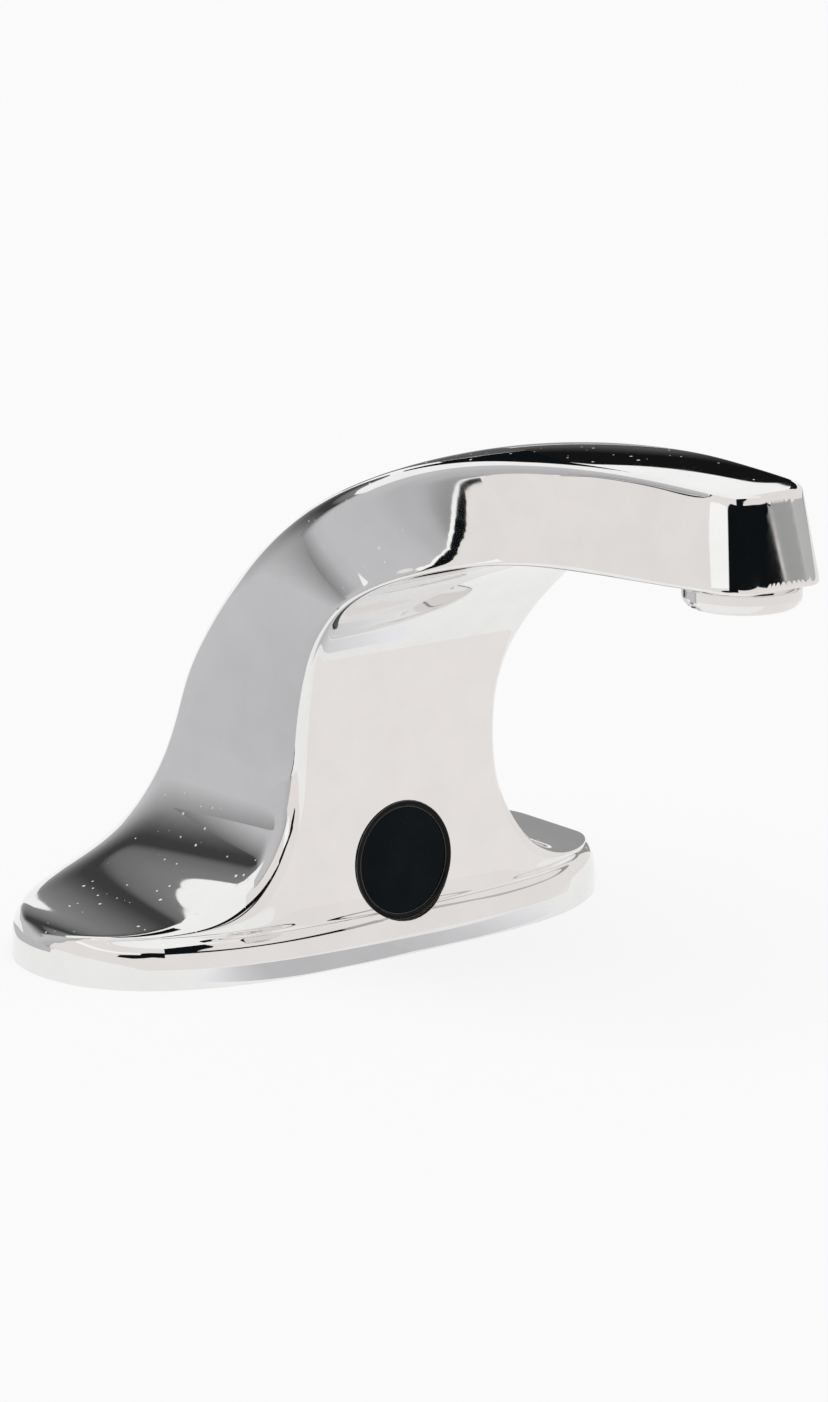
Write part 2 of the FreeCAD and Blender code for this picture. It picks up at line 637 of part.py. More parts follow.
def cable_grommet():
    """The rubber gland that the sensor's cable leaves by; its cable isn't part of the model."""
    collar = GROMMET_RADIUS + GROMMET_COLLAR
    outline = [
        (GROMMET_BORE, HOUSING_BACK - GROMMET_COLLAR),
        (collar - 0.3, HOUSING_BACK - GROMMET_COLLAR),
        (collar - 0.3, HOUSING_BACK - SLIP),
        (GROMMET_RADIUS, HOUSING_BACK - SLIP),
        (GROMMET_RADIUS, CAP_BACK + SLIP),
        (collar, CAP_BACK + SLIP),
        (collar - GROMMET_COLLAR, BRACKET_BACK + GROMMET_TAIL),
        (GROMMET_BORE, BRACKET_BACK + GROMMET_TAIL),
    ]
    return to_sensor(turned(outline))


def sensor_bracket():
    """A steel strap across the back of the sensor, screwed to two bosses of the body."""
    reach = BRACKET_SCREW_X + SCREW_BOSS_RADIUS
    strap = block((-reach, -BRACKET_WIDTH / 2, CAP_BACK), (reach, BRACKET_WIDTH / 2, BRACKET_BACK))
    holes = [disc(SCREW_RADIUS + SLIP, CAP_BACK - 1, BRACKET_BACK + 1, side * BRACKET_SCREW_X)
             for side in (-1, 1)]
    holes.append(disc(GROMMET_RADIUS + GROMMET_COLLAR + SLIP * 2, CAP_BACK - 1, BRACKET_BACK + 1))
    return to_sensor(strap.cut(holes))


def screw(x, y, seat, up):
    """A pan-head screw under or over `seat`; up is the way its shank points."""
    head_low, head_high = (seat - SCREW_HEAD_THICK, seat) if up > 0 else (seat, seat + SCREW_HEAD_THICK)
    length = SCREW_BITE + (BRIDGE_THICK if up > 0 else BRACKET_THICK)
    low, high = (seat, seat + length) if up > 0 else (seat - length, seat)
    slot_low = head_low - 1 if up > 0 else head_high - SLOT_DEPTH
    slot = block((x - SCREW_HEAD_RADIUS, y - SLOT_WIDTH / 2, slot_low),
                 (x + SCREW_HEAD_RADIUS, y + SLOT_WIDTH / 2, slot_low + SLOT_DEPTH + 1))
    head = disc(SCREW_HEAD_RADIUS, head_low, head_high, x, y).cut(slot)
    return head.fuse(disc(SCREW_RADIUS, low, high, x, y)).removeSplitter()


def bracket_screws():
    return [to_sensor(screw(side * BRACKET_SCREW_X, 0, BRACKET_BACK, -1)) for side in (-1, 1)]


# ---------------------------------------------------------------- waterway

def oring(axis_point, axis):
    return Part.makeTorus(TUBE_RADIUS + ORING_THICK / 2 + SLIP / 4, ORING_THICK / 2 - SLIP / 2,
                          axis_point, axis)


def inlet_groove_z():
    return (NECK_TOP + SOCKET_FLOOR) / 2


def inlet_connector():
    """A brass union: the supply hose screws in from below, and the tube pushes in from above."""
    body = hexagon(INLET_HEX, DECK_GAP, HEX_TOP, 0, INLET_Y)
    body = body.fuse(disc(NECK_RADIUS, HEX_TOP, NECK_TOP, 0, INLET_Y)).removeSplitter()
    groove_low = inlet_groove_z() - GROOVE_WIDTH / 2
    cuts = [
        disc(INLET_THREAD_RADIUS, DECK_GAP - 1, DECK_GAP + INLET_THREAD_LENGTH, 0, INLET_Y),
        disc(PORT_RADIUS, DECK_GAP, NECK_TOP, 0, INLET_Y),
        disc(SOCKET_RADIUS, SOCKET_FLOOR, NECK_TOP + 1, 0, INLET_Y),
        disc(GROOVE_RADIUS, groove_low, groove_low + GROOVE_WIDTH, 0, INLET_Y),
    ]
    return body.cut(cuts)


def inlet_bridge():
    """A steel plate under two bosses of the body, which carries the union."""
    reach = BRIDGE_SCREW_SPACING / 2 + SCREW_BOSS_RADIUS + BRIDGE_BOSS_EXTRA
    half = BRIDGE_WIDTH / 2
    plate = block((-reach, INLET_Y - half, HEX_TOP), (reach, INLET_Y + half, BRIDGE_TOP))
    upright = [edge for edge in plate.Edges if abs(edge.tangentAt(edge.FirstParameter).z) > 0.9]
    plate = plate.makeFillet(SCREW_BOSS_RADIUS, upright)
    holes = [disc(SCREW_RADIUS + SLIP, HEX_TOP - 1, BRIDGE_TOP + 1, side * BRIDGE_SCREW_SPACING / 2, INLET_Y)
             for side in (-1, 1)]
    holes.append(disc(NECK_RADIUS + RUNNING, HEX_TOP - 1, BRIDGE_TOP + 1, 0, INLET_Y))
    return plate.cut(holes)


def bridge_screws():
    return [screw(side * BRIDGE_SCREW_SPACING / 2, INLET_Y, HEX_TOP, 1) for side in (-1, 1)]


def inlet_locknut():
    nut = hexagon(LOCKNUT_HEX, BRIDGE_TOP, LOCKNUT_TOP, 0, INLET_Y)
    return nut.cut(disc(NECK_RADIUS + RUNNING, BRIDGE_TOP - 1, LOCKNUT_TOP + 1, 0, INLET_Y))


def tube_corners():
    """The tube's centre line as corners in the middle plane, from the union to the spout's end."""
    lean_top_y = -FACE_SETBACK - 0.13 * (SPOUT_FRONT - FACE_SETBACK)
    level_y = -FACE_SETBACK - 0.46 * (SPOUT_FRONT - FACE_SETBACK)
    return [
        Vector(0, INLET_Y, SOCKET_FLOOR),
        Vector(0, INLET_Y, TUBE_RISE),
        Vector(0, lean_top_y, TUBE_HEIGHT - TUBE_LEAN_END),
        Vector(0, level_y, TUBE_HEIGHT),
        Vector(0, SOCKET_END_Y + SLIP, TUBE_HEIGHT),
    ]


def bent_path(corners, radius):
    """Straight runs joined by tangent arcs, each as large as asked or as its runs allow."""
    edges = []
    start = corners[0]
    for before, corner, after in zip(corners, corners[1:], corners[2:]):
        back = (before - corner).normalize()
        ahead = (after - corner).normalize()
        half_turn = (math.pi - back.getAngle(ahead)) / 2
        room = 0.45 * min((before - corner).Length, (after - corner).Length)
        cut_back = min(radius * math.tan(half_turn), room)
        enter = corner + back * cut_back
        leave = corner + ahead * cut_back
        centre_way = (back + ahead).normalize()
        bend = cut_back / math.tan(half_turn)
        middle = corner + centre_way * (bend / math.cos(half_turn) - bend)
        edges.append(Part.LineSegment(start, enter).toShape())
        edges.append(Part.Arc(enter, middle, leave).toShape())
        start = leave
    edges.append(Part.LineSegment(start, corners[-1]).toShape())
    return Part.Wire(edges)


def waterway_tube():
    path = bent_path(tube_corners(), TUBE_BEND)
    start = tube_corners()[0]

    def swept(radius):
        circle = Part.Wire([Part.makeCircle(radius, start, Vector(0, 0, 1))])
        return path.makePipeShell([circle], True, False)

    return swept(TUBE_RADIUS).cut(swept(TUBE_RADIUS - TUBE_WALL))


def inlet_o_ring():
    return oring(Vector(0, INLET_Y, inlet_groove_z()), Vector(0, 0, 1))


def outlet_o_ring():
    return oring(Vector(0, outlet_groove_y(), TUBE_HEIGHT), Vector(0, 1, 0))


# ---------------------------------------------------------------- aerator

COLLAR_TOP = OUTLET_HEIGHT - COLLAR_GAP
COLLAR_FOOT = COLLAR_TOP - COLLAR_HEIGHT
BARREL_TOP = THREAD_TOP - WASHER_THICK
BARREL_RADIUS = THREAD_RADIUS - RUNNING - 0.02
LIP_TOP = COLLAR_FOOT + LIP_THICK
CORE_RADIUS = HOUSING_BORE - RUNNING


def aerator_housing():
    """The plated ring: a rounded collar below the spout and a threaded barrel inside it."""
    drop = COLLAR_HEIGHT * 0.55
    over = COLLAR_RADIUS - COLLAR_FOOT_RADIUS
    curve = [(COLLAR_FOOT_RADIUS + over * math.sin(math.radians(a)),
              COLLAR_FOOT + drop * (1 - math.cos(math.radians(a)))) for a in range(0, 91, 10)]
    outline = [(HOUSING_BORE - HOUSING_LIP, COLLAR_FOOT + 0.4), (HOUSING_BORE - HOUSING_LIP + 0.3, COLLAR_FOOT)]
    outline += curve
    outline += [
        (COLLAR_RADIUS, COLLAR_TOP - COLLAR_EDGE),
        (COLLAR_RADIUS - COLLAR_EDGE, COLLAR_TOP),
        (BARREL_RADIUS, COLLAR_TOP),
        (BARREL_RADIUS, BARREL_TOP),
        (HOUSING_BORE, BARREL_TOP),
        (HOUSING_BORE, LIP_TOP),
        (HOUSING_BORE - HOUSING_LIP, LIP_TOP),
    ]
    return turned(outline, 0, OUTLET_Y)


def aerator_core():
    """The plastic cartridge: a thin cup whose floor is a grid of fine holes."""
    floor = LIP_TOP + CORE_FLOOR
    cup = disc(CORE_RADIUS, LIP_TOP, BARREL_TOP - 0.2, 0, OUTLET_Y)
    cup = cup.cut(disc(CORE_RADIUS - CORE_WALL, floor, BARREL_TOP + 1, 0, OUTLET_Y))
    holes = []
    for index, circle in enumerate(CORE_RINGS):
        count = 6 * index or 1
        for i in range(count):
            turn = 2 * math.pi * i / count
            holes.append(disc(CORE_HOLE_RADIUS, LIP_TOP - 1, floor + 1, circle * math.cos(turn),
                              OUTLET_Y + circle * math.sin(turn)))
    return cup.cut(holes)


def aerator_screen():
    floor = LIP_TOP + CORE_FLOOR
    return disc(CORE_RADIUS - CORE_WALL - SLIP, floor, floor + SCREEN_THICK, 0, OUTLET_Y)


def flow_regulator():
    low = LIP_TOP + CORE_FLOOR + SCREEN_THICK
    return ring(CORE_RADIUS - CORE_WALL - SLIP, PORT_RADIUS, low, low + REGULATOR_THICK, 0, OUTLET_Y)


def aerator_washer():
    return ring(BARREL_RADIUS - 0.4, HOUSING_BORE - 1.6, BARREL_TOP, THREAD_TOP - RUNNING, 0, OUTLET_Y)


PIECES = {
    "tap_body": tap_body,
    "deck_gasket": deck_gasket,
    "sensor_bezel": sensor_bezel,
    "bezel_seal": bezel_seal,
    "sensor_window": sensor_window,
    "sensor_housing": sensor_housing,
    "cap_seal": cap_seal,
    "sensor_board": sensor_board,
    "optic_shield": optic_shield,
    "ir_emitter": ir_emitter,
    "ir_receiver": ir_receiver,
    "status_lamp": status_lamp,
    "sensor_back_cap": sensor_back_cap,
    "cable_grommet": cable_grommet,
    "sensor_bracket": sensor_bracket,
    "bracket_screws": bracket_screws,
    "inlet_connector": inlet_connector,
    "inlet_bridge": inlet_bridge,
    "bridge_screws": bridge_screws,
    "inlet_locknut": inlet_locknut,
    "waterway_tube": waterway_tube,
    "inlet_o_ring": inlet_o_ring,
    "outlet_o_ring": outlet_o_ring,
    "aerator_housing": aerator_housing,
    "aerator_core": aerator_core,
    "aerator_screen": aerator_screen,
    "flow_regulator": flow_regulator,
    "aerator_washer": aerator_washer,
}

os.makedirs("parts", exist_ok=True)
for piece_name, make in PIECES.items():
    save(piece_name, make())
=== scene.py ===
"""Looks for a sensor basin tap, laid out as an add-on: finishes, fine pieces and a studio.

Metres, +Z up, the same frame as the CAD model: the origin is on the deck between the fixing
holes, and the user stands on the -Y side.
"""

import math
from collections import namedtuple

import bmesh
import bpy
from bpy.props import FloatProperty, FloatVectorProperty, PointerProperty
from mathutils import Matrix, Vector


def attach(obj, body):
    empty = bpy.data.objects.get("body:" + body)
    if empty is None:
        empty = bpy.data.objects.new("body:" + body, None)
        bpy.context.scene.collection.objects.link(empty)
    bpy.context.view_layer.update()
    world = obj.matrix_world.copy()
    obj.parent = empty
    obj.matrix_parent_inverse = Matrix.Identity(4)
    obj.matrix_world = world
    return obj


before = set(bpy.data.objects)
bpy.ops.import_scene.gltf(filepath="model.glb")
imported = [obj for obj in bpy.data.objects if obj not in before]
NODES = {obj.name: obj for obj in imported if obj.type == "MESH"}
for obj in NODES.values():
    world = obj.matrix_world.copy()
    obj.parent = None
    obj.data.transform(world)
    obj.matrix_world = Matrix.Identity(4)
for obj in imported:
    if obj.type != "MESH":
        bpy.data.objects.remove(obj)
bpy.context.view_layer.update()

bl_info = {
    "name": "Sensor basin tap",
    "version": (1, 0, 0),
    "blender": (4, 5, 0),
    "location": "3D View > Sidebar > Tap",
    "description": "Finishes, fine pieces and a studio for a sensor basin tap",
    "category": "Object",
}

MM = 0.001


# ---------------------------------------------------------------- settings

def colour(name, description, default):
    """A setting that is a colour."""
    return FloatVectorProperty(name=name, description=description, default=default, size=3,
                               min=0.0, max=1.0, subtype="COLOR")


def length(name, description, default):
    """A setting in metres."""
    return FloatProperty(name=name, description=description, default=default, min=0.0,
                         subtype="DISTANCE", unit="LENGTH", precision=5)


def number(name, description, default, least):
    """A setting that is a plain number."""
    return FloatProperty(name=name, description=description, default=default, min=least)


def part(name, description, default):
    """A setting from 0 to 1."""
    return FloatProperty(name=name, description=description, default=default, min=0.0, max=1.0,
                         subtype="FACTOR")


def angle(name, description, degrees):
    """A setting that is an angle, whose default is given in degrees."""
    return FloatProperty(name=name, description=description, default=math.radians(degrees),
                         subtype="ANGLE", unit="ROTATION")


class TapFinishSettings(bpy.types.PropertyGroup):
    """Colours and roughnesses of the tap's finishes."""

    chrome: colour("Chrome", "Colour of the plating", (0.86, 0.855, 0.85))
    chrome_roughness: part("Chrome roughness", "How much the plating blurs", 0.02)
    dust: part("Dust", "Share of the plating's level parts with a speck of dust", 0.55)
    black: colour("Gloss black", "Colour of the sensor's bezel", (0.0035, 0.0035, 0.004))
    window: colour("Window", "Colour of the sensor's window", (0.001, 0.003, 0.0045))
    moulded: colour("Moulded black", "Colour of the sensor's housing", (0.016, 0.016, 0.017))
    rubber: colour("Rubber", "Colour of the seals", (0.018, 0.018, 0.019))
    brass: colour("Brass", "Colour of the union and its nut", (0.78, 0.56, 0.26))
    copper: colour("Copper", "Colour of the tube", (0.76, 0.40, 0.25))
    steel: colour("Steel", "Colour of the plated plates and screws", (0.60, 0.60, 0.61))
    white: colour("White plastic", "Colour of the aerator's insert", (0.70, 0.71, 0.70))
    board: colour("Board", "Colour of the circuit board's lacquer", (0.008, 0.085, 0.035))
    lamp: colour("Lamp", "Colour of the status lamp", (0.55, 0.012, 0.008))
    clear: colour("Clear resin", "Colour of the emitter's lens", (0.62, 0.66, 0.74))


class TapBodySettings(bpy.types.PropertyGroup):
    """Sizes of the plated body and the bezel, the same as in the CAD source."""

    base_width: length("Base width", "Foot, from end to end", 0.160)
    base_depth: length("Base depth", "Foot, from front to back", 0.0794)
    end_power: number("End roundness", "How square the foot's ends are", 3.18, 1.0)
    side_power: number("Side roundness", "How flat the foot's sides are", 0.47, 0.1)
    rim_height: length("Rim height", "Upright band round the foot", 0.0048)
    wing_height: length("Wing height", "Top of the wings near their ends", 0.0123)
    column_width: length("Column width", "Column, from side to side", 0.0594)
    tip_width: length("Tip width", "Spout's end, from side to side", 0.0290)
    face_setback: length("Face setback", "Column's face, forward of the origin", 0.0351)
    spout_reach: length("Spout reach", "Outlet's axis, forward of the origin", 0.153)
    spout_nose: length("Spout nose", "From the outlet's axis to the front", 0.0142)
    outlet_height: length("Outlet height", "Underside of the spout at the outlet", 0.1082)
    spout_depth: length("Spout depth", "Depth of the spout just behind its nose", 0.0232)
    nose_lean: angle("Nose lean", "How far the nose leans back", 10.0)
    nose_round: length("Nose rounding", "Radius of the nose's upright corners", 0.0085)
    nose_edge: length("Nose edge", "Radius of the nose's upper and lower edges", 0.0009)
    nose_taper: length("Nose taper", "How much narrower half the nose is at its top", 0.0024)
    plating: length("Plating", "How far the plating stands off the casting", 0.00008)
    plating_depth: length("Plating depth", "Thickness of the plated skin", 0.001)
    sensor_height: length("Sensor height", "Middle of the sensor above the deck", 0.0221)
    sensor_setback: length("Sensor setback", "Sensor's face, forward of the origin", 0.0362)
    sensor_lean: angle("Sensor lean", "How far the sensor looks up", 3.2)
    sensor_hole: length("Sensor hole", "Radius of the opening round the bezel", 0.01442)
    sensor_bore: length("Sensor bore", "Depth of that opening's bore through the plating", 0.016)
    lip_inner: length("Inner lip", "Radius of the bezel's inner polished lip", 0.01288)
    lip_inner_thick: length("Inner lip's thickness", "Radius of its section", 0.00011)
    lip_outer: length("Outer lip", "Radius of the bezel's outer polished lip", 0.01418)
    lip_outer_thick: length("Outer lip's thickness", "Radius of its section", 0.00012)
    outlet_seat: length("Outlet seat", "Radius of the level seat round the outlet", 0.01367)
    outlet_bore: length("Outlet bore", "Depth of the seat's bore through the plating", 0.008)
    smooth_below: angle("Smooth below", "Edges sharper than this stay sharp", 40.0)


class TapStageSettings(bpy.types.PropertyGroup):
    """The studio round the tap."""

    backdrop: colour("Backdrop", "Colour of the floor and the background", (1.0, 1.0, 1.0))
    sky: part("Sky", "Soft light from all round", 0.6)
    sun: number("Sun", "Strength of the soft light from the front left", 1.2, 0.0)
    sun_spread: angle("Sun spread", "How wide the soft light is", 60.0)
    floor_radius: length("Floor radius", "Size of the round floor", 4.0)
    floor_drop: length("Floor drop", "Keeps the floor's face apart from the gasket's", 0.0001)
    floor_glow: part("Floor glow", "How much of the floor's white is its own", 0.75)
    camera_turn: angle("Camera turn", "Angle of the camera round the tap", -38.721)
    camera_rise: angle("Camera rise", "Angle of the camera above the deck", 13.172)
    camera_distance: length("Camera distance", "From the camera to its target", 1.2)
    camera_target: FloatVectorProperty(
        name="Camera target", description="The point that the camera looks at",
        default=(0.00699, -0.03146, 0.05884), size=3, subtype="XYZ", unit="LENGTH")
    lens: number("Lens", "Focal length in millimetres on a 36 mm sensor", 130.29, 10.0)


# ---------------------------------------------------------------- form of the body

# millimetres: the foot's lowest row above the deck, how far the spout's upper side is drawn
# forward, and where the nose's front begins above the underside and ends below the top
FOOT_LIFT = 0.02
OVER_SHIFT = 0.5
NOSE_FOOT, NOSE_HEAD = 0.5, 2.0

# points on a flat side, from its middle to its corner
FLAT_SHARES = (0.0, 0.4, 0.75, 1.0)

# stations over which the lining's drop fades out
LINING_FADE = 4.0


class BodyForm:
    """The rows of points, in millimetres, that the body's surface is drawn from, foot first."""

    def __init__(self, size):
        self.half_width = size.base_width / MM / 2
        self.half_depth = size.base_depth / MM / 2
        self.end_power = size.end_power
        self.side_power = size.side_power
        self.rim = size.rim_height / MM
        self.wing = size.wing_height / MM
        self.column = size.column_width / MM / 2
        self.tip = size.tip_width / MM / 2
        self.face = size.face_setback / MM
        self.front = (size.spout_reach + size.spout_nose) / MM
        self.under = size.outlet_height / MM
        self.top = (size.outlet_height + size.spout_depth) / MM
        self.nose_lean = size.nose_lean
        self.nose_round = size.nose_round / MM
        self.nose_edge = size.nose_edge / MM
        self.nose_taper = size.nose_taper / MM

    def footprint_share(self, x):
        """The footprint's half-depth at x, as a share of its greatest."""
        out = min(1.0, abs(x) / self.half_width)
        return (1.0 - out ** self.end_power) ** self.side_power

    def oval_row(self, height, half_width, front, rear):
        """A level row of the foot, through points of the footprint."""
        # places across the foot, as shares of its half-width
        shares = (0.0, 0.34, 0.64, 0.86, 0.955)
        bows = [(share, self.footprint_share(share * self.half_width)) for share in shares]
        half = [Vector((half_width * share, -front * bow, height)) for share, bow in bows]
        for lean in (-0.24, -0.08, 0.08, 0.24):
            share = (1.0 - abs(lean) ** (1.0 / self.side_power)) ** (1.0 / self.end_power)
            half.append(Vector((half_width * share, lean * (front if lean < 0 else rear), height)))
        half += [Vector((half_width * share, rear * bow, height)) for share, bow in reversed(bows)]
        return through(mirrored(half))

    def box_row(self, station, wall, drop):
        """A four-sided section of the column or spout, with rounded corners.

        A station gives the middles of the under and over sides as (y, z), the half-widths there,
        how far each pair of corners reaches across and along, how closely the two sides follow
        the footprint's bow, the crown of the over side, and its tilt."""
        under, over, halves, under_corner, over_corner, bows, crown, tilt = station
        start = Vector((0, under[0], under[1] - drop))
        across = Vector((0, over[0], over[1] - drop)) - start
        depth = across.length - 2 * wall
        across.normalize()
        start = start + across * wall
        half_under = halves[0] - wall
        half_over = halves[1] - wall

        def bow_under(x):
            return bows[0] * abs(under[0]) * (1.0 - self.footprint_share(x))

        def bow_over(x):
            bow = bows[1] * abs(over[0]) * (1.0 - self.footprint_share(x))
            return bow + crown * (x / half_over) ** 2

        def at(x, along):
            point = start + across * along
            return Vector((x, point.y, point.z + tilt * point.y))

        def side(along):
            return at(half_under + (half_over - half_under) * along / depth, along)

        low = bow_under(half_under)
        high = depth - bow_over(half_over)
        low_side = low + under_corner[1]
        high_side = high - over_corner[1]
        flat_under = half_under - under_corner[0]
        flat_over = half_over - over_corner[0]
        half = [at(share * flat_under, bow_under(share * flat_under)) for share in FLAT_SHARES]
        half.append(side(low))
        half += [side(low_side + (high_side - low_side) * third / 3.0) for third in range(4)]
        half.append(side(high))
        half += [at(share * flat_over, depth - bow_over(share * flat_over))
                 for share in reversed(FLAT_SHARES)]
        return mirrored(half)

    def foot_rows(self, wall):
        """The upright rim, its crease in front, and the rounding over to the wings' tops."""
        rise = self.wing - self.rim
        # height, then how far the row draws in at its ends, in front and behind
        levels = (
            (self.rim * 0.5, 0.0, 0.0, 0.0),
            (self.rim - 0.2, 0.0, 0.0, 0.0),
            (self.rim, 0.0, 0.0, 0.0),
            (self.rim + 0.2, 0.0, 0.05, 0.0),
            (self.rim + rise * 0.28, 0.05, 0.55, 0.05),
            (self.rim + rise * 0.60, 0.5, 1.15, 0.5),
        )
        across = self.half_width - wall
        along = self.half_depth - wall
        rows = [self.oval_row(FOOT_LIFT, across, along, along)]
        for height, ends, front, rear in levels:
            rows.append(self.oval_row(height - wall, across - ends, along - front, along - rear))
        return rows

    def wing_stations(self):
        """Level stations from the wings' tops up into the column."""
        tilt = 0.03
        bell = self.half_width - self.column
        # height above the wings' tops, face and back setback, flare, corner reaches, tilt
        levels = (
            (-1.1, 3.1, 1.2, 0.961, (12, 5), (12, 5), tilt * 0.53),
            (-0.4, 2.9, 1.6, 0.901, (18, 5), (18, 5), tilt * 0.73),
            (0.0, 2.7, 1.9, 0.811, (24, 6), (24, 6), tilt * 0.83),
            (0.7, 2.4, 2.1, 0.672, (26, 7), (26, 7), tilt * 0.97),
            (1.9, 2.1, 2.4, 0.533, (22, 7), (24, 9), tilt),
            (4.0, 1.7, 3.1, 0.402, (17, 7), (22, 13), tilt),
            (7.0, 1.3, 4.4, 0.282, (12, 6.5), (22, 16), tilt * 0.7),
            (11.3, 1.0, 6.2, 0.187, (9, 6.5), (22, 18), tilt * 0.3),
            (16.7, 0.6, 8.6, 0.105, (7, 6), (22, 20), 0.0),
        )
        stations = []
        for height, front, rear, share, near, far, lean in levels:
            half = self.column + bell * share
            z = self.wing + height
            stations.append(((-self.face - front, z), (self.half_depth - rear, z),
                             (half, half + 0.2 * (share < 0.5)), near, far, (1, 1), 0, lean))
        return stations

    def arm_stations(self):
        """Stations that turn from the level column to the upright spout."""
        reach = self.front - self.face
        # under and over side as shares of the spout, half-width shares (0 at the tip, 1 at the
        # column), corner reaches, bows, crown
        table = (
            ((0.002, 0.333), (-0.481, 0.282), (1.12, 1.12), (6, 5.5), (22, 21), (0.8, 1), 0),
            ((0.000, 0.407), (-0.455, 0.346), (1.02, 1.02), (5, 5), (22, 21), (0.5, 1), 0),
            ((0.000, 0.481), (-0.430, 0.411), (0.99, 0.99), (4.5, 4.5), (22, 20), (0.2, 1), 0),
            ((0.006, 0.555), (-0.404, 0.475), (1.00, 0.98), (4.5, 4.5), (22, 19), (0, 1), 0),
            ((0.022, 0.628), (-0.369, 0.537), (1.05, 0.97), (4, 4), (21, 18), (0, 1), 1),
            ((0.054, 0.702), (-0.320, 0.600), (1.15, 0.95), (4, 4), (20, 16), (0, 1), 1.5),
            ((0.098, 0.771), (-0.261, 0.665), (1.25, 0.94), (3.5, 3.5), (19, 14), (0, 1), 2),
            ((0.151, 0.832), (-0.195, 0.731), (1.30, 0.91), (3, 3), (18, 12), (0, 0), 2.5),
            ((0.211, 0.882), (-0.117, 0.796), (1.22, 0.87), (2.5, 2.5), (16, 10), (0, 0), 3),
            ((0.275, 0.919), (-0.027, 0.855), (1.01, 0.81), (2.2, 2.2), (14, 9), (0, 0), 3),
            ((0.340, 0.945), (0.080, 0.905), (0.68, 0.69), (2, 2), (11, 7), (0, 0), 3),
            ((0.408, 0.963), (0.196, 0.944), (0.39, 0.51), (1.8, 1.8), (8, 5), (0, 0), 2.5),
            ((0.484, 0.976), (0.317, 0.971), (0.22, 0.32), (1.6, 1.6), (5, 4), (0, 0), 2),
            ((0.567, 0.984), (0.438, 0.987), (0.15, 0.22), (1.5, 1.5), (4, 3), (0, 0), 1.6),
            ((0.658, 0.990), (0.559, 0.996), (0.11, 0.15), (1.5, 1.5), (3, 2.4), (0, 0), 1.2),
            ((0.749, 0.994), (0.680, 1.001), (0.07, 0.05), (1.5, 1.5), (2.5, 2), (0, 0), 0.9),
            ((0.847, 0.998), (0.802, 0.9985), (0.03, -0.08), (1.5, 1.5), (2.2, 2), (0, 0), 0.8),
        )
        stations = []
        for low, high, halves, near, far, bows, crown in table:
            under = (-self.face - low[0] * reach, low[1] * self.under)
            over = (-self.face - high[0] * reach - OVER_SHIFT, high[1] * self.top)
            widths = tuple(self.tip + (self.column - self.tip) * share for share in halves)
            stations.append((under, over, widths, near, far, bows, crown, 0))
        return stations

    def nose_stations(self):
        """Stations that round the spout's sides into its leaning front."""
        foot = Vector((0, -self.front, self.under + NOSE_FOOT))
        head = Vector((0, 0, self.top - NOSE_HEAD))
        head.y = foot.y + (head.z - foot.z) * math.tan(self.nose_lean)
        up = (head - foot).normalized()
        stations = []
        for turn in (0, 18, 35, 50, 63, 74, 83, 90):
            behind = self.nose_round * (1.0 - math.sin(math.radians(turn)))
            inset = self.nose_round * (1.0 - math.cos(math.radians(turn)))
            short = max(0.0, self.nose_edge - behind)
            eased = self.nose_edge - math.sqrt(self.nose_edge ** 2 - short ** 2)
            low = foot + Vector((0, behind, 0)) + up * eased
            high = head + Vector((0, behind, behind * 0.1)) - up * eased
            widths = (self.tip - inset, self.tip - self.nose_taper - inset)
            stations.append(((low.y, low.z), (high.y, high.z), widths,
                             (1.5, 1.5), (2, 2), (0, 0), 0.3, 0))
        return stations

    def outside(self):
        """Rows of the outer surface, from the rim to the nose."""
        stations = self.wing_stations() + self.arm_stations() + self.nose_stations()
        return self.foot_rows(0.0) + [self.box_row(station, 0.0, 0.0) for station in stations]

    def lining(self, wall):
        """Rows one wall in from the surface, up to where the nose begins to round.

        The rows of the foot and column also lie one wall lower. Along the spout that fades out."""
        rows = self.foot_rows(wall)
        rows += [self.box_row(station, wall, wall) for station in self.wing_stations()]
        for index, station in enumerate(self.arm_stations()):
            rows.append(self.box_row(station, wall, wall * max(0.0, 1.0 - index / LINING_FADE)))
        return rows


def mirrored(half):
    """A closed row from its right half, whose first and last points lie in the middle."""
    return half + [Vector((-p.x, p.y, p.z)) for p in reversed(half[1:-1])]


PASSES = 40


def through(points):
    """Control points of the closed smooth curve that runs through the given points.

    Each pass solves the curve's equations a little closer, from neighbour to neighbour."""
    controls = list(points)
    for _ in range(PASSES):
        for i in range(len(points)):
            beside = controls[i - 1] + controls[(i + 1) % len(points)]
            controls[i] = (points[i] * 6.0 - beside) * 0.25
    return controls


# ---------------------------------------------------------------- modelling

def primitive(name, shape, **settings):
    """Add a primitive with nothing else selected, and name it."""
    bpy.ops.object.select_all(action="DESELECT")
    getattr(bpy.ops.mesh, "primitive_" + shape + "_add")(**settings)
    piece = bpy.context.object
    piece.name = name
    piece.data.name = name
    return piece


def alone(piece):
    """Select one piece and make it the active one."""
    bpy.ops.object.select_all(action="DESELECT")
    piece.select_set(True)
    bpy.context.view_layer.objects.active = piece


def apply(piece, kind, **settings):
    """Add a modifier to a piece and apply it."""
    alone(piece)
    modifier = piece.modifiers.new(kind.lower(), kind)
    for key, value in settings.items():
        setattr(modifier, key, value)
    bpy.ops.object.modifier_apply(modifier=modifier.name)


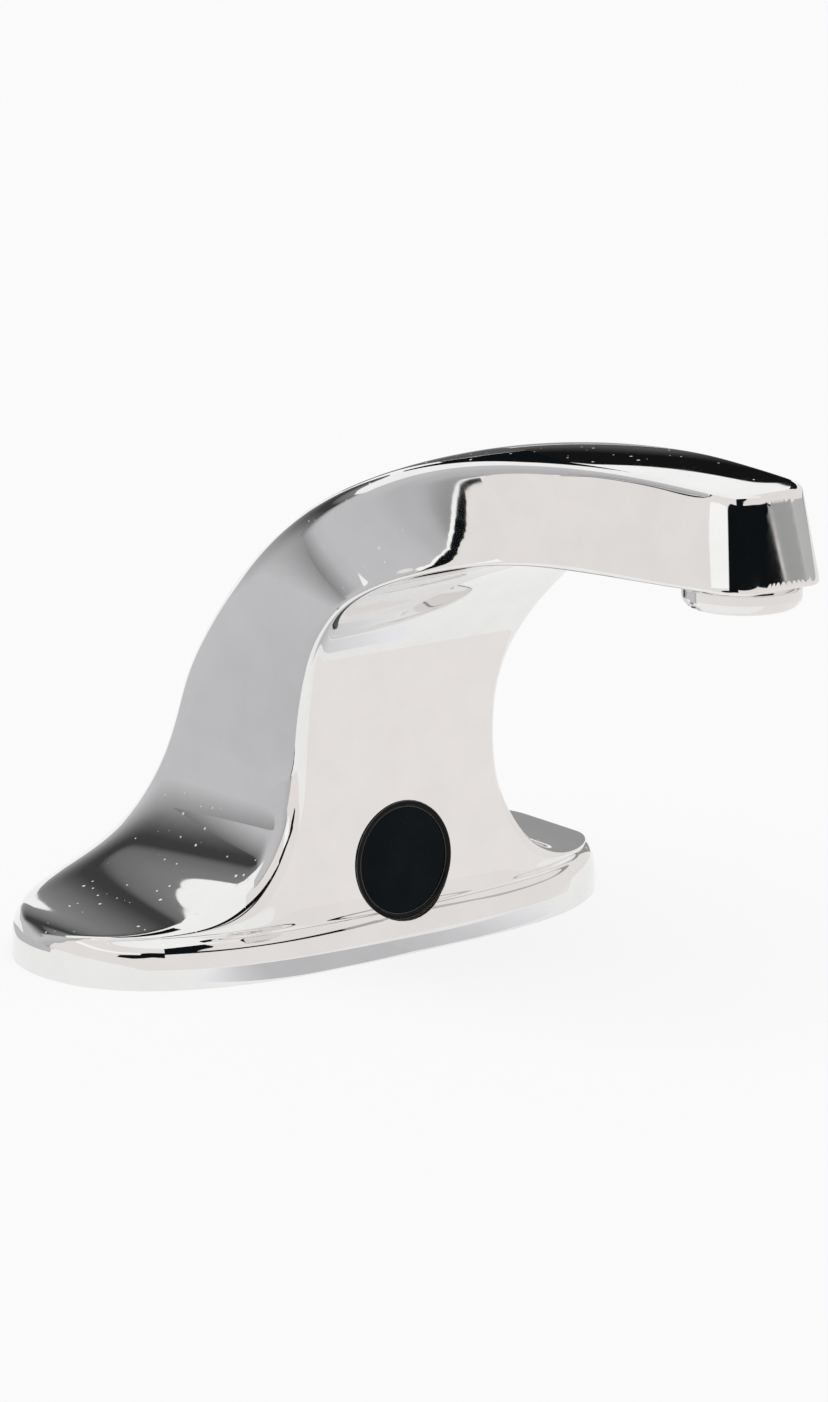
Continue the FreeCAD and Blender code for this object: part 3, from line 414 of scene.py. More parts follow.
def drawn_through(name, rows):
    """A tube drawn through closed rows of points, from a ring that is extruded row by row."""
    piece = primitive(name, "circle", vertices=len(rows[0]), radius=0.1, fill_type="NOTHING")
    seats = piece.data.attributes.new("seat", "INT", "POINT")
    for index, item in enumerate(seats.data):
        item.value = index
    bpy.ops.object.mode_set(mode="EDIT")
    bpy.ops.mesh.select_mode(type="EDGE")
    for index, row in enumerate(rows):
        if index:
            bpy.ops.mesh.extrude_region_move()
        mesh = bmesh.from_edit_mesh(piece.data)
        seat = mesh.verts.layers.int["seat"]
        for vertex in mesh.verts:
            if vertex.select:
                vertex.co = row[vertex[seat]] * MM
        bmesh.update_edit_mesh(piece.data)
    bpy.ops.mesh.edge_face_add()
    bpy.ops.transform.edge_crease(value=1.0)
    bpy.ops.mesh.select_all(action="SELECT")
    bpy.ops.mesh.normals_make_consistent(inside=False)
    bpy.ops.object.mode_set(mode="OBJECT")
    piece.data.attributes.remove(piece.data.attributes["seat"])
    return piece


RING_SIDES = 8


def ringed(name, radius, thick, place):
    """A thin round ring: a small section extruded from circle to circle, closed and smoothed."""
    ring = primitive(name, "circle", vertices=96, radius=radius, fill_type="NOTHING")
    bpy.ops.object.mode_set(mode="EDIT")
    bpy.ops.mesh.select_mode(type="EDGE")
    for side in range(RING_SIDES):
        if side:
            bpy.ops.mesh.extrude_region_move()
        slant = 2.0 * math.pi * side / RING_SIDES
        mesh = bmesh.from_edit_mesh(ring.data)
        for vertex in mesh.verts:
            if vertex.select:
                reach = math.hypot(vertex.co.x, vertex.co.y)
                grown = (radius + thick * math.cos(slant)) / reach
                vertex.co = (vertex.co.x * grown, vertex.co.y * grown, thick * math.sin(slant))
        bmesh.update_edit_mesh(ring.data)
    bpy.ops.mesh.select_all(action="DESELECT")
    bpy.ops.mesh.select_non_manifold()
    bpy.ops.mesh.bridge_edge_loops()
    bpy.ops.mesh.select_all(action="SELECT")
    bpy.ops.mesh.normals_make_consistent(inside=False)
    bpy.ops.object.mode_set(mode="OBJECT")
    ring.data.transform(place)
    bpy.ops.object.shade_smooth()
    return ring


def bored(piece, radius, centre, direction, depth):
    """Drill a round hole through a wall, its middle at the given point."""
    drill = primitive("drill", "cylinder", vertices=128, radius=radius, depth=depth,
                      location=centre, rotation=direction.to_track_quat("Z", "Y").to_euler())
    apply(piece, "BOOLEAN", operation="DIFFERENCE", solver="EXACT", object=drill)
    bpy.data.objects.remove(drill)


# ---------------------------------------------------------------- materials

Finish = namedtuple("Finish", "tree shader point grain bump")


def new_material(name, base, roughness, metallic=0.0):
    """A material with a plain shader, which is also given back."""
    material = bpy.data.materials.new("finish_" + name)
    material.use_nodes = True
    shader = material.node_tree.nodes["Principled BSDF"]
    shader.inputs["Base Color"].default_value = (*base, 1.0)
    shader.inputs["Roughness"].default_value = roughness
    shader.inputs["Metallic"].default_value = metallic
    return material, shader


def feed(tree, source, target):
    """Give a socket its source: another socket, a node's first output, or a value."""
    if isinstance(source, bpy.types.Node):
        source = source.outputs[0]
    if isinstance(source, bpy.types.NodeSocket):
        tree.links.new(source, target)
    else:
        target.default_value = source


def put(tree, kind, inputs, operation=None):
    """Add a node and feed its inputs."""
    item = tree.nodes.new("ShaderNode" + kind)
    if operation:
        item.operation = operation
    for key, source in inputs.items():
        feed(tree, source, item.inputs[key])
    return item


def blended(tree, share, first, second):
    """A colour between two others, each a socket or three numbers."""
    mix = tree.nodes.new("ShaderNodeMix")
    mix.data_type = "RGBA"
    feed(tree, share, mix.inputs[0])
    for index, source in ((6, first), (7, second)):
        if not isinstance(source, bpy.types.NodeSocket):
            source = (*source, 1.0)
        feed(tree, source, mix.inputs[index])
    return mix.outputs[2]


def new_group(name, inputs, outputs):
    """A shader group with named sockets, and its inner ends."""
    tree = bpy.data.node_groups.new(name, "ShaderNodeTree")
    for label, kind, value in inputs:
        socket = tree.interface.new_socket(label, in_out="INPUT", socket_type="NodeSocket" + kind)
        if value is not None:
            socket.default_value = value
    for label in outputs:
        tree.interface.new_socket(label, in_out="OUTPUT", socket_type="NodeSocketFloat")
    given = tree.nodes.new("NodeGroupInput").outputs
    return tree, given, tree.nodes.new("NodeGroupOutput").inputs


def effect(tree, name, **inputs):
    """Place a shader group in a material."""
    item = tree.nodes.new("ShaderNodeGroup")
    item.node_tree = bpy.data.node_groups[name]
    for key, source in inputs.items():
        feed(tree, source, item.inputs[key.capitalize()])
    return item.outputs


def grain_effect():
    """A fine grain, stretched where it is drawn or brushed, and the broad patches under it."""
    tree, given, out = new_group(
        "grain", (("Point", "Vector", None), ("Scale", "Float", 800.0),
                  ("Stretch", "Vector", (1.0, 1.0, 1.0))), ("Height", "Patches"))
    stretched = put(tree, "VectorMath", {0: given["Point"], 1: given["Stretch"]}, "MULTIPLY")
    fine = put(tree, "TexNoise", {"Vector": stretched, "Scale": given["Scale"],
                                  "Detail": 4.0, "Roughness": 0.6})
    feed(tree, fine, out["Height"])
    broad = put(tree, "TexNoise", {"Vector": given["Point"], "Scale": 90.0, "Detail": 3.0,
                                   "Roughness": 0.55})
    spread = put(tree, "MapRange", {"Value": broad, "From Min": 0.38, "From Max": 0.66})
    feed(tree, spread, out["Patches"])


def specks_effect():
    """Small round specks, in a share of the cells that the surface falls into."""
    tree, given, out = new_group(
        "specks", (("Point", "Vector", None), ("Scale", "Float", 300.0), ("Size", "Float", 0.07),
                   ("Share", "Float", 0.5)), ("Mask",))
    cells = put(tree, "TexVoronoi", {"Vector": given["Point"], "Scale": given["Scale"]})
    chance = put(tree, "SeparateXYZ", {0: cells.outputs["Color"]})
    size = put(tree, "Math", {0: given["Size"], 1: chance.outputs["Y"]}, "MULTIPLY")
    near = put(tree, "MapRange", {"Value": cells.outputs["Distance"],
                                  "From Min": size, "From Max": 0.0})
    kept = put(tree, "Math", {0: chance.outputs["X"], 1: given["Share"]}, "LESS_THAN")
    mask = put(tree, "Math", {0: near, 1: kept}, "MULTIPLY")
    sharper = put(tree, "Math", {0: mask, 1: 2.5}, "MULTIPLY")
    sharper.use_clamp = True
    feed(tree, sharper, out["Mask"])


def turned_effect():
    """Fine rings as a lathe leaves them, round the frame's upright axis."""
    tree, given, out = new_group("turned", (("Point", "Vector", None),
                                            ("Scale", "Float", 2500.0)), ("Height",))
    parts = put(tree, "SeparateXYZ", {0: given["Point"]})
    level = put(tree, "CombineXYZ", {"X": parts.outputs["X"], "Y": parts.outputs["Y"]})
    reach = put(tree, "VectorMath", {0: level}, "LENGTH")
    place = put(tree, "CombineXYZ", {"X": reach.outputs["Value"], "Z": parts.outputs["Z"]})
    rings = put(tree, "TexNoise", {"Vector": place, "Scale": given["Scale"], "Detail": 2.0})
    feed(tree, rings, out["Height"])


def tracks_effect():
    """The tracks and round pads of a circuit board."""
    tree, given, out = new_group("tracks", (("Point", "Vector", None), ("Scale", "Float", 400.0)),
                                 ("Tracks", "Pads"))
    cells = put(tree, "TexVoronoi", {"Vector": given["Point"], "Scale": given["Scale"]})
    cells.distance = "CHEBYCHEV"
    edge = put(tree, "Math", {0: cells.outputs["Distance"], 1: 0.5, 2: 0.06}, "COMPARE")
    feed(tree, edge, out["Tracks"])
    dots = put(tree, "TexVoronoi", {"Vector": given["Point"], "Scale": given["Scale"]})
    pads = put(tree, "Math", {0: dots.outputs["Distance"], 1: 0.2}, "LESS_THAN")
    feed(tree, pads, out["Pads"])


def weave_effect():
    """Plain woven wires: how high they stand, and the open squares between them."""
    tree, given, out = new_group("weave", (("Point", "Vector", None), ("Scale", "Float", 1600.0)),
                                 ("Height", "Wires"))
    parts = put(tree, "SeparateXYZ", {0: given["Point"]})
    waves = []
    for axis in ("X", "Y"):
        turn = put(tree, "Math", {0: parts.outputs[axis], 1: given["Scale"]}, "MULTIPLY")
        turn = put(tree, "Math", {0: turn, 1: 2.0 * math.pi}, "MULTIPLY")
        waves.append(put(tree, "Math", {0: turn}, "SINE"))
    height = put(tree, "Math", {0: waves[0], 1: waves[1]}, "MAXIMUM")
    feed(tree, height, out["Height"])
    wires = put(tree, "Math", {0: height, 1: 0.1}, "GREATER_THAN")
    feed(tree, wires, out["Wires"])


def grained(name, base, worn, metallic, gloss, scale, relief, stretch=(1.0, 1.0, 1.0)):
    """A finish that varies in broad patches of colour and gloss over a fine grain.

    Gloss gives the least and greatest roughness, scale the grains to a metre, and relief how
    high they stand, in metres."""
    material, shader = new_material(name, base, gloss[0], metallic)
    tree = material.node_tree
    point = put(tree, "TexCoord", {}).outputs["Object"]
    grain = effect(tree, "grain", point=point, scale=scale, stretch=stretch)
    feed(tree, blended(tree, grain["Patches"], base, worn), shader.inputs["Base Color"])
    rough = put(tree, "MapRange", {"Value": grain["Patches"], "To Min": gloss[0],
                                   "To Max": gloss[1]})
    feed(tree, rough, shader.inputs["Roughness"])
    bump = put(tree, "Bump", {"Height": grain["Height"], "Distance": relief, "Strength": 0.6})
    feed(tree, bump, shader.inputs["Normal"])
    return Finish(tree, shader, point, grain, bump)


def toned(base, *shares):
    """A colour with each part multiplied by its share, or all three by the only one."""
    if len(shares) == 1:
        shares *= 3
    return tuple(min(1.0, value * share) for value, share in zip(base, shares))


def seen_directly(tree):
    """1 where the camera sees a thing, also in metal or glass, and 0 where it only lights."""
    path = put(tree, "LightPath", {}).outputs
    either = put(tree, "Math", {0: path["Is Camera Ray"], 1: path["Is Glossy Ray"]}, "MAXIMUM")
    return put(tree, "Math", {0: either, 1: path["Is Transmission Ray"]}, "MAXIMUM")


def dress(node, material):
    """Give a CAD node one material."""
    mesh = NODES[node].data
    mesh.materials.clear()
    mesh.materials.append(material)


# ---------------------------------------------------------------- cards of the studio

def even(grey):
    """One grey all over a card."""
    return (0, grey), (1000, grey)


# tints of the cards
PLAIN = (1.0, 1.0, 1.0)
COOL = (0.985, 0.99, 1.015)
WARM = (1.035, 0.995, 0.975)
NIGHT = (0.62, 0.80, 0.95)

# greys that several cards share
BLACK, PALE, WHITE = even(0.008), even(0.84), even(1.06)

# ways along which a card's grey can change
RIGHT, LEFT = (1.0, 0.0, 0.0), (-1.0, 0.0, 0.0)
BACK, FORWARD = (0.0, 1.0, 0.0), (0.0, -1.0, 0.0)
UP, SLANTED = (0.0, 0.0, 1.0), (0.0, 1.0, 0.8)

# name, the axis that the card stands across and its place on it, its corners on the other two
# axes, the way of its grey, places along that way and the grey there, tint; all in millimetres
CARDS = (
    ("rear", "Y", 300,
     ((-300, 0), (40, 0), (0, 90), (60, 125), (100, 165), (145, 170), (150, 215), (100, 255),
      (50, 275), (-20, 285), (-150, 282), (-300, 266)),
     UP, ((0, 0.6), (75, 0.6), (100, 0.52), (150, 0.33), (175, 0.21), (200, 0.12), (225, 0.055),
          (242, 0.05), (252, 0.16), (275, 0.22)), COOL),
    ("rear_side", "Y", 299,
     ((-300, 150), (-235, 150), (-228, 200), (-228, 275), (-300, 275)),
     LEFT, ((228, 0.15), (250, 0.36), (272, 0.56), (300, 0.6)), COOL),
    ("left", "X", -300,
     ((300, 0), (300, 400), (120, 400), (85, 375), (66, 350), (48, 300), (37, 265), (33, 225),
      (41, 190), (51, 163), (61, 145), (71, 131), (83, 118), (95, 107), (105, 99), (126, 82),
      (139, 74), (162, 68), (178, 0)),
     SLANTED, ((0, 0.27), (170, 0.29), (185, 0.36), (200, 0.48), (215, 0.52), (250, 0.53),
               (300, 0.58), (400, 0.6)), COOL),
    ("left_bright", "X", -300.4,
     ((128, 76.3), (103, 96.5), (78.5, 114), (56.5, 139), (34, 186), (25, 222), (26, 265),
      (32, 305), (48, 360), (82, 400), (130, 410), (90, 360), (60, 290), (50, 222), (60, 180),
      (90, 140), (120, 100), (150, 74)),
     UP, WHITE, PLAIN),
    ("left_edge", "X", -299,
     ((90, 400), (58, 352), (42, 300), (32.5, 262), (29, 222), (37.5, 187), (48, 160), (59, 142),
      (69, 128), (80.5, 116), (93, 105), (104, 97.5), (129, 77), (127, 75.5), (102, 95.5),
      (90, 102), (77, 112), (64, 124), (54, 136), (42, 155), (30, 185), (20, 222), (19, 262),
      (22, 300), (34, 352), (70, 400)),
     UP, BLACK, NIGHT),
    ("left_cream", "X", -302,
     ((-460, 0), (200, 0), (200, 550), (-460, 550)),
     UP, PALE, WARM),
    ("left_white", "X", -301,
     ((-250, 150), (-130, 125), (0, 98), (42, 84), (40, 118), (0, 145), (-130, 168), (-250, 180)),
     UP, WHITE, PLAIN),
    ("left_black", "X", -300,
     ((-450, 100), (-340, 95), (-290, 75), (-215, 55), (-130, 55), (-140, 95), (-200, 118),
      (-255, 130), (-262, 180), (-320, 215), (-450, 228)),
     UP, BLACK, NIGHT),
    ("floor_left", "Z", 0.5,
     ((-60, 50), (-110, 120), (-155, 300), (-300, 300), (-300, 230), (-245, 145), (-215, 105),
      (-150, 50), (-110, 20)),
     BACK, ((0, 0.55), (300, 0.6)), COOL),
    ("floor_edge", "Z", 0.6,
     ((-300, 230), (-245, 145), (-215, 105), (-195, 85), (-210, 85), (-235, 105), (-262, 145),
      (-300, 205)),
     UP, even(0.12), COOL),
    # painted shadow: the next two darker grey sheets lie on the floor round the foot's front and
    # show only in reflections, where they stand in for the floor's contact shadow at the foot
    ("floor_rim", "Z", 0.3,
     ((0, -40.2), (30, -39.5), (56, -37.5), (53, -48), (0, -50.5)),
     RIGHT, ((0, 0.6), (20, 0.66), (50, 0.92)), COOL),
    ("floor_rim_left", "Z", 0.3,
     ((-60, -37.5), (0, -40.2), (0, -50.5), (-60, -54.5)),
     LEFT, ((0, 0.58), (40, 0.56), (48, 0.7), (58, 0.95)), COOL),
    ("floor_cream", "Z", 0.4,
     ((0, -55), (300, -55), (300, -450), (0, -450)),
     UP, even(0.87), WARM),
    ("front", "Y", -460,
     ((-350, 0), (320, 0), (320, 550), (-350, 550)),
     UP, PALE, WARM),
    ("front_black", "Y", -450,
     ((-300, 172), (-150, 160), (50, 152), (254, 120), (254, 165), (50, 187), (-150, 207),
      (-120, 270), (-70, 330), (-50, 410), (-60, 550), (-300, 550)),
     UP, BLACK, NIGHT),
    ("front_grey", "Y", -449,
     ((254, 115), (300, 115), (300, 165), (254, 165)),
     RIGHT, ((254, 0.36), (272, 0.44)), PLAIN),
    ("right", "X", 310,
     ((-460, 0), (100, 0), (100, 550), (-460, 550)),
     UP, PALE, WARM),
    ("right_grey", "X", 300,
     ((-450, 122), (-330, 122), (-280, 100), (-150, 98), (75, 92), (105, 0), (300, 0), (300, 108),
      (-110, 112), (-190, 128), (-330, 152), (-450, 155)),
     FORWARD, ((0, 0.33), (80, 0.36), (120, 0.5), (450, 0.53)), PLAIN),
    ("right_black", "X", 300,
     ((120, 180), (145, 125), (210, 112), (300, 115), (300, 262), (220, 262), (120, 258),
      (100, 290), (20, 325), (20, 295), (60, 265), (120, 235)),
     UP, ((0, 0.1), (140, 0.09), (165, 0.04), (190, 0.008)), PLAIN),
    ("rear_low", "Y", 300,
     ((195, 0), (300, 0), (300, 165), (235, 165), (225, 125), (180, 125), (200, 100)),
     UP, ((0, 0.33), (70, 0.33), (95, 0.12), (130, 0.1)), COOL),
    ("rear_black", "Y", 300,
     ((115, 262), (160, 222), (210, 215), (235, 170), (300, 165), (300, 400), (105, 400)),
     UP, BLACK, NIGHT),
)


# where the soft sun comes from, the camera's film in millimetres, and its near limit in metres
SUN_FROM = Vector((-0.35, -0.45, 1.0))
SENSOR_WIDTH = 36.0
CLIP_START = 0.01


# ---------------------------------------------------------------- operators

class TAP_OT_body(bpy.types.Operator):
    """Model the plated skin of the foot, column and spout"""

    bl_idname = "tap.body"
    bl_label = "Plated body"

    def execute(self, context):
        size = context.scene.tap_body
        form = BodyForm(size)
        skin = drawn_through("body_plating", form.outside())
        apply(skin, "SUBSURF", levels=3, render_levels=3)
        apply(skin, "DISPLACE", strength=size.plating, mid_level=0.0)
        lining = drawn_through("lining", form.lining(size.plating_depth / MM))
        apply(lining, "SUBSURF", levels=1, render_levels=1)
        self.close(skin, lining)
        inward = Vector((0.0, math.cos(size.sensor_lean), -math.sin(size.sensor_lean)))
        sensor = (0.0, -size.sensor_setback, size.sensor_height)
        bored(skin, size.sensor_hole, sensor, inward, size.sensor_bore)
        outlet = (0.0, -size.spout_reach, size.outlet_height)
        bored(skin, size.outlet_seat, outlet, Vector((0.0, 0.0, 1.0)), size.outlet_bore)
        alone(skin)
        bpy.ops.object.shade_smooth_by_angle(angle=size.smooth_below)
        skin.data.materials.append(bpy.data.materials["finish_chrome"])
        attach(skin, "tap")
        return {"FINISHED"}

    def close(self, skin, lining):
        """Join the skin's lower edge to the lining's, so that the plating is one closed solid."""
        alone(lining)
        bpy.ops.object.mode_set(mode="EDIT")
        bpy.ops.mesh.select_all(action="SELECT")
        bpy.ops.mesh.flip_normals()
        bpy.ops.object.mode_set(mode="OBJECT")
        alone(skin)
        lining.select_set(True)
        bpy.ops.object.join()
        bpy.ops.object.mode_set(mode="EDIT")
        bpy.ops.mesh.select_mode(type="EDGE")
        bpy.ops.mesh.select_all(action="DESELECT")
        bpy.ops.mesh.select_non_manifold()
        bpy.ops.mesh.bridge_edge_loops()
        bpy.ops.object.mode_set(mode="OBJECT")


class TAP_OT_bezel(bpy.types.Operator):
    """Model the two polished lips of the sensor's bezel, which catch the light"""

    bl_idname = "tap.bezel"
    bl_label = "Bezel lips"

    # how far the middle of each lip's section stands behind or before the sensor's face, in metres
    INNER_PLACE, OUTER_PLACE = -0.00002, 0.00020

    def execute(self, context):
        size = context.scene.tap_body
        upright = Matrix.Rotation(math.radians(90.0), 4, "X")
        turn = Matrix.Rotation(-size.sensor_lean, 4, "X") @ upright
        place = Matrix.Translation((0.0, -size.sensor_setback, size.sensor_height)) @ turn
        for name, radius, thick, level in (
                ("bezel_inner_lip", size.lip_inner, size.lip_inner_thick, self.INNER_PLACE),
                ("bezel_outer_lip", size.lip_outer, size.lip_outer_thick, self.OUTER_PLACE)):
            lip = ringed(name, radius, thick, place @ Matrix.Translation((0.0, 0.0, level)))
            lip.data.materials.append(bpy.data.materials["finish_polished_edge"])
            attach(lip, "tap")
        return {"FINISHED"}


# name, setting of its colour, colour where worn, least and greatest roughness, grains to a
# metre, relief in metres, specular level
PLASTICS = (
    ("gloss_black", "black", (0.006, 0.006, 0.006), (0.05, 0.09), 60.0, 2e-6, 0.10),
    ("dark_window", "window", (0.003, 0.006, 0.008), (0.03, 0.07), 40.0, 1e-6, 0.06),
    ("polished_edge", "black", (0.010, 0.008, 0.007), (0.02, 0.05), 60.0, 2e-6, 0.9),
    ("moulded_black", "moulded", (0.022, 0.022, 0.023), (0.38, 0.52), 3500.0, 2e-5, 0.5),
    ("rubber", "rubber", (0.034, 0.033, 0.032), (0.55, 0.75), 2200.0, 3e-5, 0.5),
    ("white_plastic", "white", (0.62, 0.61, 0.56), (0.32, 0.55), 1800.0, 1e-5, 0.5),
)

# the same up to the relief, but the worn colour as shares of the other; then the grain's stretch
METALS = (
    ("brushed_steel", "steel", (0.62,), (0.24, 0.42), 700.0, 2e-5, (0.6, 9.0, 9.0)),
    ("screw_steel", "steel", (0.62,), (0.2, 0.36), 1600.0, 1e-5, (1.0, 1.0, 1.0)),
    ("drawn_copper", "copper", (0.45, 0.38, 0.40), (0.2, 0.42), 900.0, 1e-5, (8.0, 1.0, 1.0)),
)


class TAP_OT_finishes(bpy.types.Operator):
    """Give every piece of the tap its finish"""

    bl_idname = "tap.finishes"
    bl_label = "Finishes"

    def execute(self, context):
        look = context.scene.tap_finish
        for build in (grain_effect, specks_effect, turned_effect, tracks_effect, weave_effect):
            build()
        self.plating(look)
        self.plastics(look)
        self.metals(look)
        self.electrics(look)
        for finish, nodes in {
            "chrome": ("tap_body", "aerator_housing"),
            "gloss_black": ("sensor_bezel",),
            "dark_window": ("sensor_window",),
            "rubber": ("deck_gasket", "bezel_seal", "cap_seal", "inlet_o_ring", "outlet_o_ring",
                       "cable_grommet", "aerator_washer"),
            "moulded_black": ("sensor_housing", "sensor_back_cap", "optic_shield"),
            "white_plastic": ("aerator_core", "flow_regulator"),
            "circuit_board": ("sensor_board",),
            "clear_lens": ("ir_emitter",),
            "dark_lens": ("ir_receiver",),
            "red_lens": ("status_lamp",),
            "brushed_steel": ("sensor_bracket", "inlet_bridge"),
            "screw_steel": ("bracket_screws", "bridge_screws"),
            "turned_brass": ("inlet_connector", "inlet_locknut"),
            "drawn_copper": ("waterway_tube",),
            "woven_wire": ("aerator_screen",),
        }.items():
            for node in nodes:
                dress(node, bpy.data.materials["finish_" + finish])
        return {"FINISHED"}

    def plating(self, look):
        """Bright chrome with a faint haze in patches, and dust on what lies level."""
        gloss = (look.chrome_roughness, look.chrome_roughness + 0.02)
        chrome = grained("chrome", look.chrome, toned(look.chrome, 0.965), 1.0, gloss, 45.0, 4e-6)
        tree, inputs = chrome.tree, chrome.shader.inputs
        dust = effect(tree, "specks", point=chrome.point, scale=420.0, size=0.2, share=look.dust)
        facing = put(tree, "NewGeometry", {}).outputs["Normal"]
        height = put(tree, "SeparateXYZ", {0: facing}).outputs["Z"]
        level = put(tree, "MapRange", {"Value": height, "From Min": 0.2, "From Max": 0.75})
        mask = put(tree, "Math", {0: dust["Mask"], 1: level}, "MULTIPLY")
        plated = inputs["Base Color"].links[0].from_socket
        feed(tree, blended(tree, mask, plated, (0.9, 0.9, 0.9)), inputs["Base Color"])
        rough = inputs["Roughness"].links[0].from_socket
        dusty = put(tree, "Math", {0: mask, 1: 0.6, 2: rough}, "MULTIPLY_ADD")
        feed(tree, dusty, inputs["Roughness"])
        metal = put(tree, "MapRange", {"Value": mask, "To Min": 1.0, "To Max": 0.1})
        feed(tree, metal, inputs["Metallic"])

    def plastics(self, look):
        """The bezel, window, housings, seals and the aerator's insert."""
        for name, base, worn, gloss, scale, relief, specular in PLASTICS:
            finish = grained(name, getattr(look, base), worn, 0.0, gloss, scale, relief)
            feed(finish.tree, specular, finish.shader.inputs["Specular IOR Level"])

    def metals(self, look):
        """Steel, copper and brass, the last with the rings of the lathe, and the woven screen."""
        for name, base, shares, gloss, scale, relief, stretch in METALS:
            base = getattr(look, base)
            grained(name, base, toned(base, *shares), 1.0, gloss, scale, relief, stretch)
        steel, brass = look.steel, look.brass
        worn = toned(brass, 0.58, 0.50, 0.50)
        turned = grained("turned_brass", brass, worn, 1.0, (0.18, 0.36), 900.0, 1e-5)
        rings = effect(turned.tree, "turned", point=turned.point)
        both = put(turned.tree, "Math", {0: rings["Height"], 1: turned.grain["Height"]}, "ADD")
        feed(turned.tree, both, turned.bump.inputs["Height"])

        worn = toned(steel, 0.62)
        wire = grained("woven_wire", steel, worn, 1.0, (0.22, 0.36), 1600.0, 8e-5)
        weave = effect(wire.tree, "weave", point=wire.point)
        feed(wire.tree, weave["Height"], wire.bump.inputs["Height"])
        feed(wire.tree, weave["Wires"], wire.shader.inputs["Alpha"])

    def electrics(self, look):
        """The circuit board, and the clear, dark and red lenses on it."""
        board = grained("circuit_board", look.board, toned(look.board, 0.8), 0.0, (0.28, 0.4),
                        2500.0, 3e-5)
        tree, inputs = board.tree, board.shader.inputs
        lines = effect(tree, "tracks", point=board.point)
        lacquer = inputs["Base Color"].links[0].from_socket
        printed = blended(tree, lines["Tracks"], lacquer, toned(look.board, 2.2))
        tinned = blended(tree, lines["Pads"], printed, (0.72, 0.71, 0.68))
        feed(tree, tinned, inputs["Base Color"])
        feed(tree, lines["Pads"], inputs["Metallic"])
        feed(tree, lines["Tracks"], board.bump.inputs["Height"])
        for name, base, clear in (("clear_lens", look.clear, 0.85),
                                  ("dark_lens", look.moulded, 0.0),
                                  ("red_lens", look.lamp, 0.6)):
            lens = grained(name, base, toned(base, 0.85), 0.0, (0.06, 0.14), 300.0, 3e-6)
            lens.shader.inputs["Transmission Weight"].default_value = clear


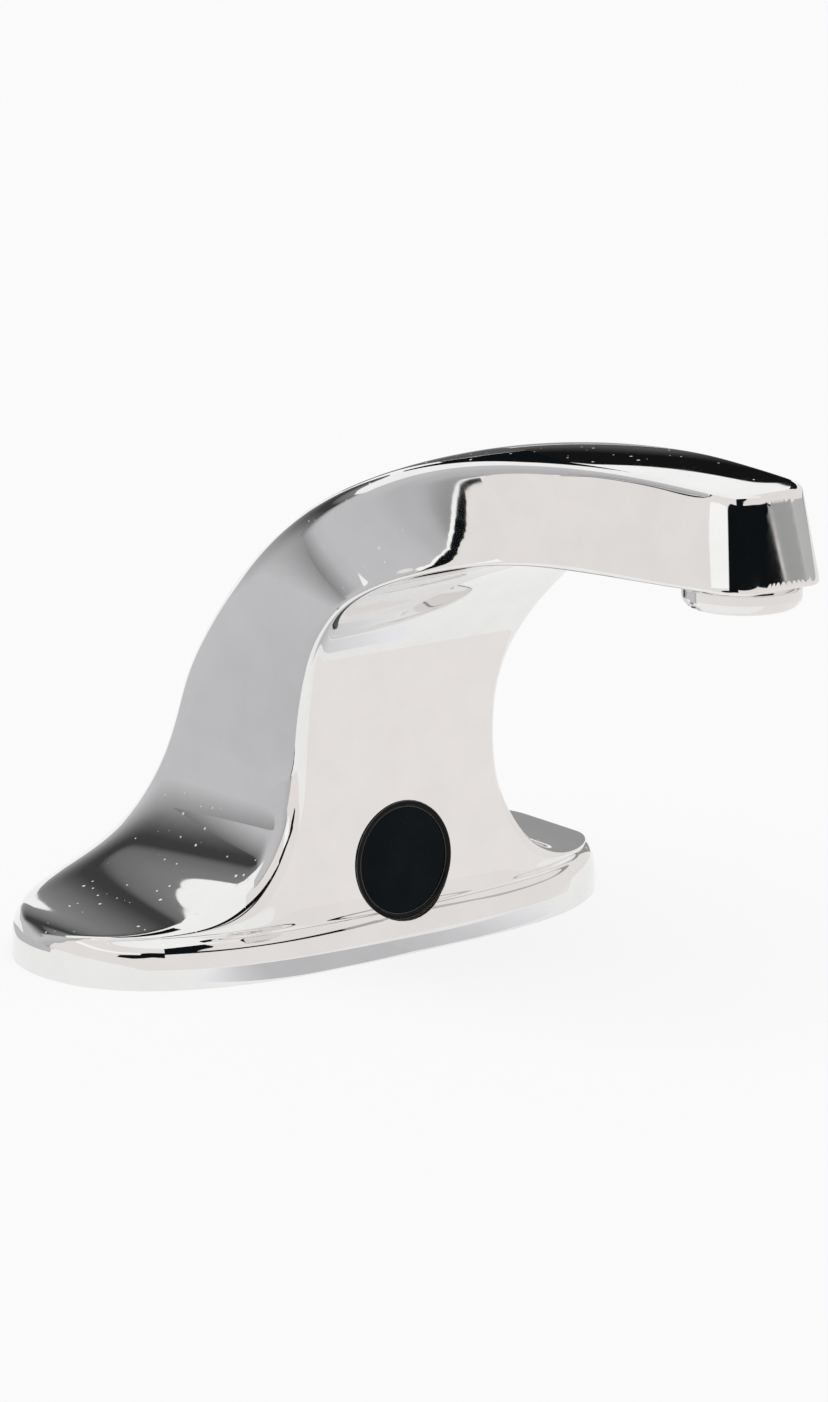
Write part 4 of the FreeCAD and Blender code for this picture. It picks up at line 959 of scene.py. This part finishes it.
class TAP_OT_stage(bpy.types.Operator):
    """Set up the studio: floor, cards, light and camera"""

    bl_idname = "tap.stage"
    bl_label = "Studio"

    def execute(self, context):
        stage = context.scene.tap_stage
        self.world(context, stage)
        self.floor(stage)
        self.cards()
        self.lamps(stage)
        self.camera(context, stage)
        context.scene.view_settings.view_transform = "Standard"
        return {"FINISHED"}

    def world(self, context, stage):
        """A background that is white to the eye and softer as a light."""
        world = bpy.data.worlds.new("studio")
        context.scene.world = world
        world.use_nodes = True
        tree = world.node_tree
        shine = tree.nodes["Background"]
        shine.inputs["Color"].default_value = (*stage.backdrop, 1.0)
        level = put(tree, "MapRange", {"Value": seen_directly(tree), "To Min": stage.sky,
                                       "To Max": 1.0})
        feed(tree, level, shine.inputs["Strength"])

    def floor(self, stage):
        """A white floor that glows a little, and keeps the tap's soft shadow."""
        floor = primitive("floor", "circle", vertices=64, radius=stage.floor_radius,
                          fill_type="NGON", location=(0, 0, -stage.floor_drop))
        material, shader = new_material("floor_white", (0.9, 0.9, 0.9), 0.9)
        shader.inputs["Specular IOR Level"].default_value = 0.0
        tree = material.node_tree
        glow = put(tree, "Emission", {"Color": (*stage.backdrop, 1.0)})
        share = put(tree, "Math", {0: seen_directly(tree), 1: stage.floor_glow}, "MULTIPLY")
        mix = put(tree, "MixShader", {0: share, 1: shader, 2: glow})
        feed(tree, mix, tree.nodes["Material Output"].inputs["Surface"])
        floor.data.materials.append(material)

    def cards(self):
        """Grey and black cards that only the plating's reflections see."""
        for name, normal, place, corners, way, greys, tint in CARDS:
            card = primitive("card_" + name, "circle", vertices=len(corners), radius=0.1,
                             fill_type="NGON")
            for vertex, (one, other) in zip(card.data.vertices, corners):
                corner = [one, other]
                corner.insert("XYZ".index(normal), place)
                vertex.co = [measure * MM for measure in corner]
            card.data.materials.append(self.glowing("card_" + name, way, greys, tint))
            card.visible_camera = card.visible_shadow = card.visible_diffuse = False

    def glowing(self, name, way, greys, tint):
        """A light of its own whose grey changes along one way."""
        material = bpy.data.materials.new(name)
        material.use_nodes = True
        tree = material.node_tree
        tree.nodes.remove(tree.nodes["Principled BSDF"])
        point = put(tree, "TexCoord", {}).outputs["Object"]
        along = put(tree, "VectorMath", {0: point, 1: way}, "DOT_PRODUCT")
        ramp = put(tree, "ValToRGB", {0: along.outputs["Value"]})
        stops = ramp.color_ramp.elements
        for index, (place, grey) in enumerate(greys):
            stop = stops[index] if index < len(stops) else stops.new(place * MM)
            stop.position = place * MM
            stop.color = (*(grey * share for share in tint), 1.0)
        glow = put(tree, "Emission", {"Color": ramp})
        feed(tree, glow, tree.nodes["Material Output"].inputs["Surface"])
        return material

    def lamps(self, stage):
        """One soft sun, which the plating's reflections don't show."""
        lamp = bpy.data.lights.new("soft_sun", "SUN")
        lamp.energy = stage.sun
        lamp.angle = stage.sun_spread
        holder = bpy.data.objects.new("soft_sun", lamp)
        holder.location = (-0.6, -0.8, 1.6)
        holder.rotation_mode = "QUATERNION"
        holder.rotation_quaternion = SUN_FROM.to_track_quat("Z", "Y")
        holder.visible_glossy = False
        bpy.context.scene.collection.objects.link(holder)

    def camera(self, context, stage):
        """A camera at the photograph's viewing angle."""
        turn, rise = stage.camera_turn, stage.camera_rise
        level = math.cos(rise)
        back = Vector((math.sin(turn) * level, -math.cos(turn) * level, math.sin(rise)))
        data = bpy.data.cameras.new("camera")
        data.lens = stage.lens
        data.sensor_width = SENSOR_WIDTH
        data.clip_start = CLIP_START
        camera = bpy.data.objects.new("camera", data)
        camera.location = Vector(stage.camera_target) + back * stage.camera_distance
        camera.rotation_mode = "QUATERNION"
        camera.rotation_quaternion = (-back).to_track_quat("-Z", "Y")
        context.scene.collection.objects.link(camera)
        context.scene.camera = camera


class TAP_PT_panel(bpy.types.Panel):
    """Lists the tap's settings and operators"""

    bl_label = "Sensor basin tap"
    bl_idname = "TAP_PT_panel"
    bl_space_type = "VIEW_3D"
    bl_region_type = "UI"
    bl_category = "Tap"

    def draw(self, context):
        layout = self.layout
        for group in SETTINGS:
            settings = getattr(context.scene, group)
            box = layout.box()
            for name in settings.bl_rna.properties.keys():
                if name not in ("rna_type", "name"):
                    box.prop(settings, name)
        for operator in OPERATORS:
            layout.operator(operator.bl_idname)


SETTINGS = {"tap_finish": TapFinishSettings, "tap_body": TapBodySettings,
            "tap_stage": TapStageSettings}
OPERATORS = (TAP_OT_finishes, TAP_OT_body, TAP_OT_bezel, TAP_OT_stage)
CLASSES = (*SETTINGS.values(), *OPERATORS, TAP_PT_panel)


def register():
    """Register the classes and hang the settings on the scene."""
    for cls in CLASSES:
        bpy.utils.register_class(cls)
    for name, group in SETTINGS.items():
        setattr(bpy.types.Scene, name, PointerProperty(type=group))


def unregister():
    """Undo register."""
    for name in SETTINGS:
        delattr(bpy.types.Scene, name)
    for cls in reversed(CLASSES):
        bpy.utils.unregister_class(cls)


def main():
    """Register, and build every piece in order."""
    register()
    for operator in OPERATORS:
        group, name = operator.bl_idname.split(".")
        getattr(getattr(bpy.ops, group), name)()


if __name__ == "__main__":
    main()
